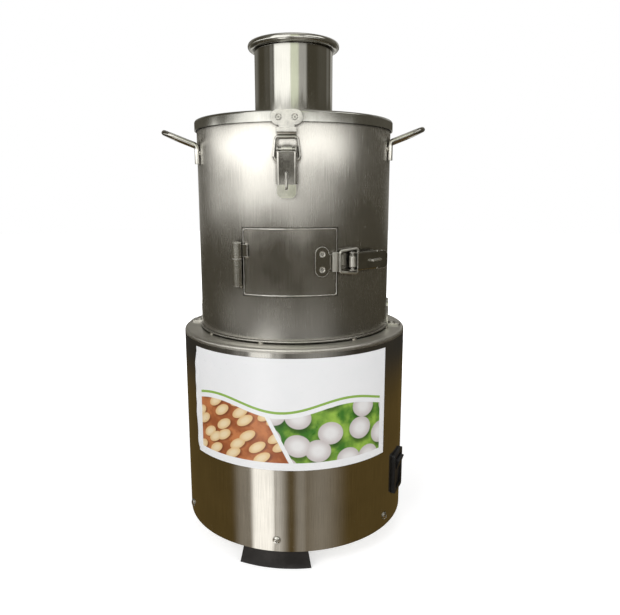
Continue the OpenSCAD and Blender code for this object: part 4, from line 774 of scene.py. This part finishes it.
def weld_bead(name, start, end, width, rise, body, material, seed):
    """Rippled run of weld metal on a round wall, sunk half into it. Width and rise are in millimetres."""
    steps, ring = 10, 10
    path = [start.lerp(end, k / steps) for k in range(steps)] + [end]
    vertices = []
    for i, place in enumerate(path):
        across, out = wall_axes(path[max(i - 1, 0)], place, path[min(i + 1, steps)])
        taper = math.sqrt(max(0.0, 1 - (2 * i / steps - 1) ** 4))
        ripple = 0.16 * math.sin(2.4 * i + seed) + 0.10 * math.sin(5.3 * i + 2 * seed)
        swell = max(0.05, taper * (1 + ripple))
        for k in range(ring):
            turn = 2 * math.pi * k / ring
            knob = 1 + 0.10 * math.sin(3 * turn + 1.7 * i + seed)
            vertices.append(place + across * (0.5 * width * MM * swell * knob * math.cos(turn))
                            + out * (rise * MM * swell * knob * math.sin(turn)))
    faces = ring_faces(len(path), ring, closed=False)
    faces.append(tuple(range(ring))[::-1])
    faces.append(tuple(steps * ring + k for k in range(ring)))
    bead = mesh_object(name, vertices, faces)
    bead.modifiers.new("smooth", "SUBSURF").render_levels = 2
    add_to_body(bead, material, body)


def make_welds(material):
    """Welds of the door hinge and its arm, of the handles' legs, and tacks round the barrel's foot."""
    hinge_low, hinge_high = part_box("door_hinge_base")
    cap_low, cap_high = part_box("door_hinge_cap")
    hinge = DOOR_LEFT - 2.1
    arm_low, arm_high = cap_low.z + 1.5 * MM, cap_high.z - 2.5 * MM

    def run(name, first, last, width, rise, body, seed, radius=BARREL_R):
        """Bead between two places, each an angle in degrees and a height."""
        start, end = (on_wall(a, radius, z) for a, z in (first, last))
        weld_bead(name, start, end, width, rise, body, material, seed)

    run("hinge_weld_low", (hinge + 0.7, hinge_low.z - 2.5 * MM), (hinge + 0.3, hinge_low.z + 3 * MM),
        3.0, 2.0, "machine", 1)
    run("hinge_weld_high", (hinge - 2.2, hinge_high.z - 9 * MM), (hinge - 2.2, hinge_high.z - 2 * MM),
        2.6, 1.4, "machine", 2)
    run("arm_weld_low", (DOOR_LEFT + 1.4, arm_low - 0.4 * MM), (DOOR_LEFT + 3.6, arm_low + 0.1 * MM),
        2.6, 1.6, "door", 3)
    run("arm_weld_high", (DOOR_LEFT + 1.4, arm_high + 0.4 * MM), (DOOR_LEFT + 3.2, arm_high + 0.2 * MM),
        2.2, 1.2, "door", 4)

    rod_r, beside_rod = 2.75 * MM, math.degrees(2.3 * MM / BARREL_R)
    for name, sign in (("left_handle", -1), ("right_handle", 1)):
        low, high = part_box(name)
        leg_y = 0.5 * (high.y - low.y) - rod_r
        for tag, y in (("front", -leg_y), ("back", leg_y)):
            x = sign * math.sqrt((BARREL_R + 0.4 * MM) ** 2 - y * y)
            a = math.degrees(math.atan2(x, -y)) + math.copysign(beside_rod, y) * sign
            run(f"{name}_weld_{tag}", (a, low.z + 8.5 * MM), (a, low.z + 13.5 * MM),
                2.0, 1.1, "machine", 5 + sign)

    tack_z, tack_long = BARREL_FOOT + 0.5 * MM, 3.0
    for k, a in enumerate((-57, -20, 33, 70, 118, 165, 215, 262)):
        run(f"foot_tack_{k}", (a, tack_z), (a + tack_long, tack_z), 2.6, 1.2, "machine", 20 + k,
            radius=BARREL_R + 2.2 * MM)


def door_edge(material):
    """Rounded, rubbed-bright edge of the door, on its pressed rim."""
    inset, corner, radius = 0.7 * MM, 2.2 * MM, BARREL_R + 0.42 * MM
    side, corner_a = math.degrees(inset / BARREL_R), math.degrees(corner / BARREL_R)
    left, right = DOOR_LEFT + side + corner_a, DOOR_RIGHT - side - corner_a
    low, high = door_low.z + inset + corner, door_high.z - inset - corner
    outline = []
    for a, z, first in ((left, low, 180), (right, low, 270), (right, high, 0), (left, high, 90)):
        for k in range(7):
            turn = math.radians(first + 15 * k)
            outline.append((a + corner_a * math.cos(turn), z + corner * math.sin(turn)))
    path = []
    for (a0, z0), (a1, z1) in zip(outline, outline[1:] + outline[:1]):
        count = max(1, int(abs(a1 - a0) / 1.5))
        path += [on_wall(a0 + (a1 - a0) * k / count, radius, z0 + (z1 - z0) * k / count)
                 for k in range(count)]
    ring, half, flat = 8, 0.62 * MM, 0.8
    vertices = []
    for i, place in enumerate(path):
        across, out = wall_axes(path[i - 1], place, path[(i + 1) % len(path)])
        worn = 1 + 0.12 * math.sin(1.3 * i) * math.sin(0.37 * i)
        for k in range(ring):
            turn = 2 * math.pi * k / ring
            vertices.append(place + (across * math.cos(turn) + out * flat * math.sin(turn)) * half * worn)
    edge = mesh_object("door_edge", vertices, ring_faces(len(path), ring, closed=True))
    add_to_body(edge, material, "door")


def label_flap(material):
    """Left edge of the label, which was put on badly: it has come loose and stands off in waves."""
    rows, columns = 72, 8
    low, tall = label_low.z + 3 * MM, label_high.z - label_low.z - 9 * MM
    held, face, thickness = LABEL_LEFT * BASE_R + 3.0 * MM, BASE_R + 0.45 * MM, 0.25 * MM
    vertices, faces = [], []
    for i in range(rows + 1):
        t = i / rows
        end = math.sin(math.pi * t) ** 0.5
        free = (3.2 + end * (2.4 + 0.8 * math.sin(9 * t + 1) + 0.5 * math.sin(23 * t))) * MM
        lift = end * (0.75 + 0.35 * math.sin(14 * t + 2) + 0.15 * math.sin(37 * t)) * MM
        for k in range(columns + 1):
            u = k / columns
            radius = face + lift * u * u + 0.10 * MM * math.sin(31 * t + 5 * u) * u
            vertices.append(on_wall(math.degrees((held - free * u) / BASE_R), radius, low + tall * t))
    for i in range(rows):
        for k in range(columns):
            a = i * (columns + 1) + k
            faces.append((a, a + columns + 1, a + columns + 2, a + 1))
    flap = mesh_object("label_flap", vertices, faces)
    paper = flap.modifiers.new("paper", "SOLIDIFY")
    paper.thickness = thickness
    paper.offset = 0
    add_to_body(flap, material, "machine")


make_camera()
make_world()
make_floor()
make_room()
make_lights()
materials = make_materials()
dress_nodes(materials)
door_edge(materials["rubbed_edge"])
make_welds(materials["weld_metal"])
label_flap(materials["label_paper"])
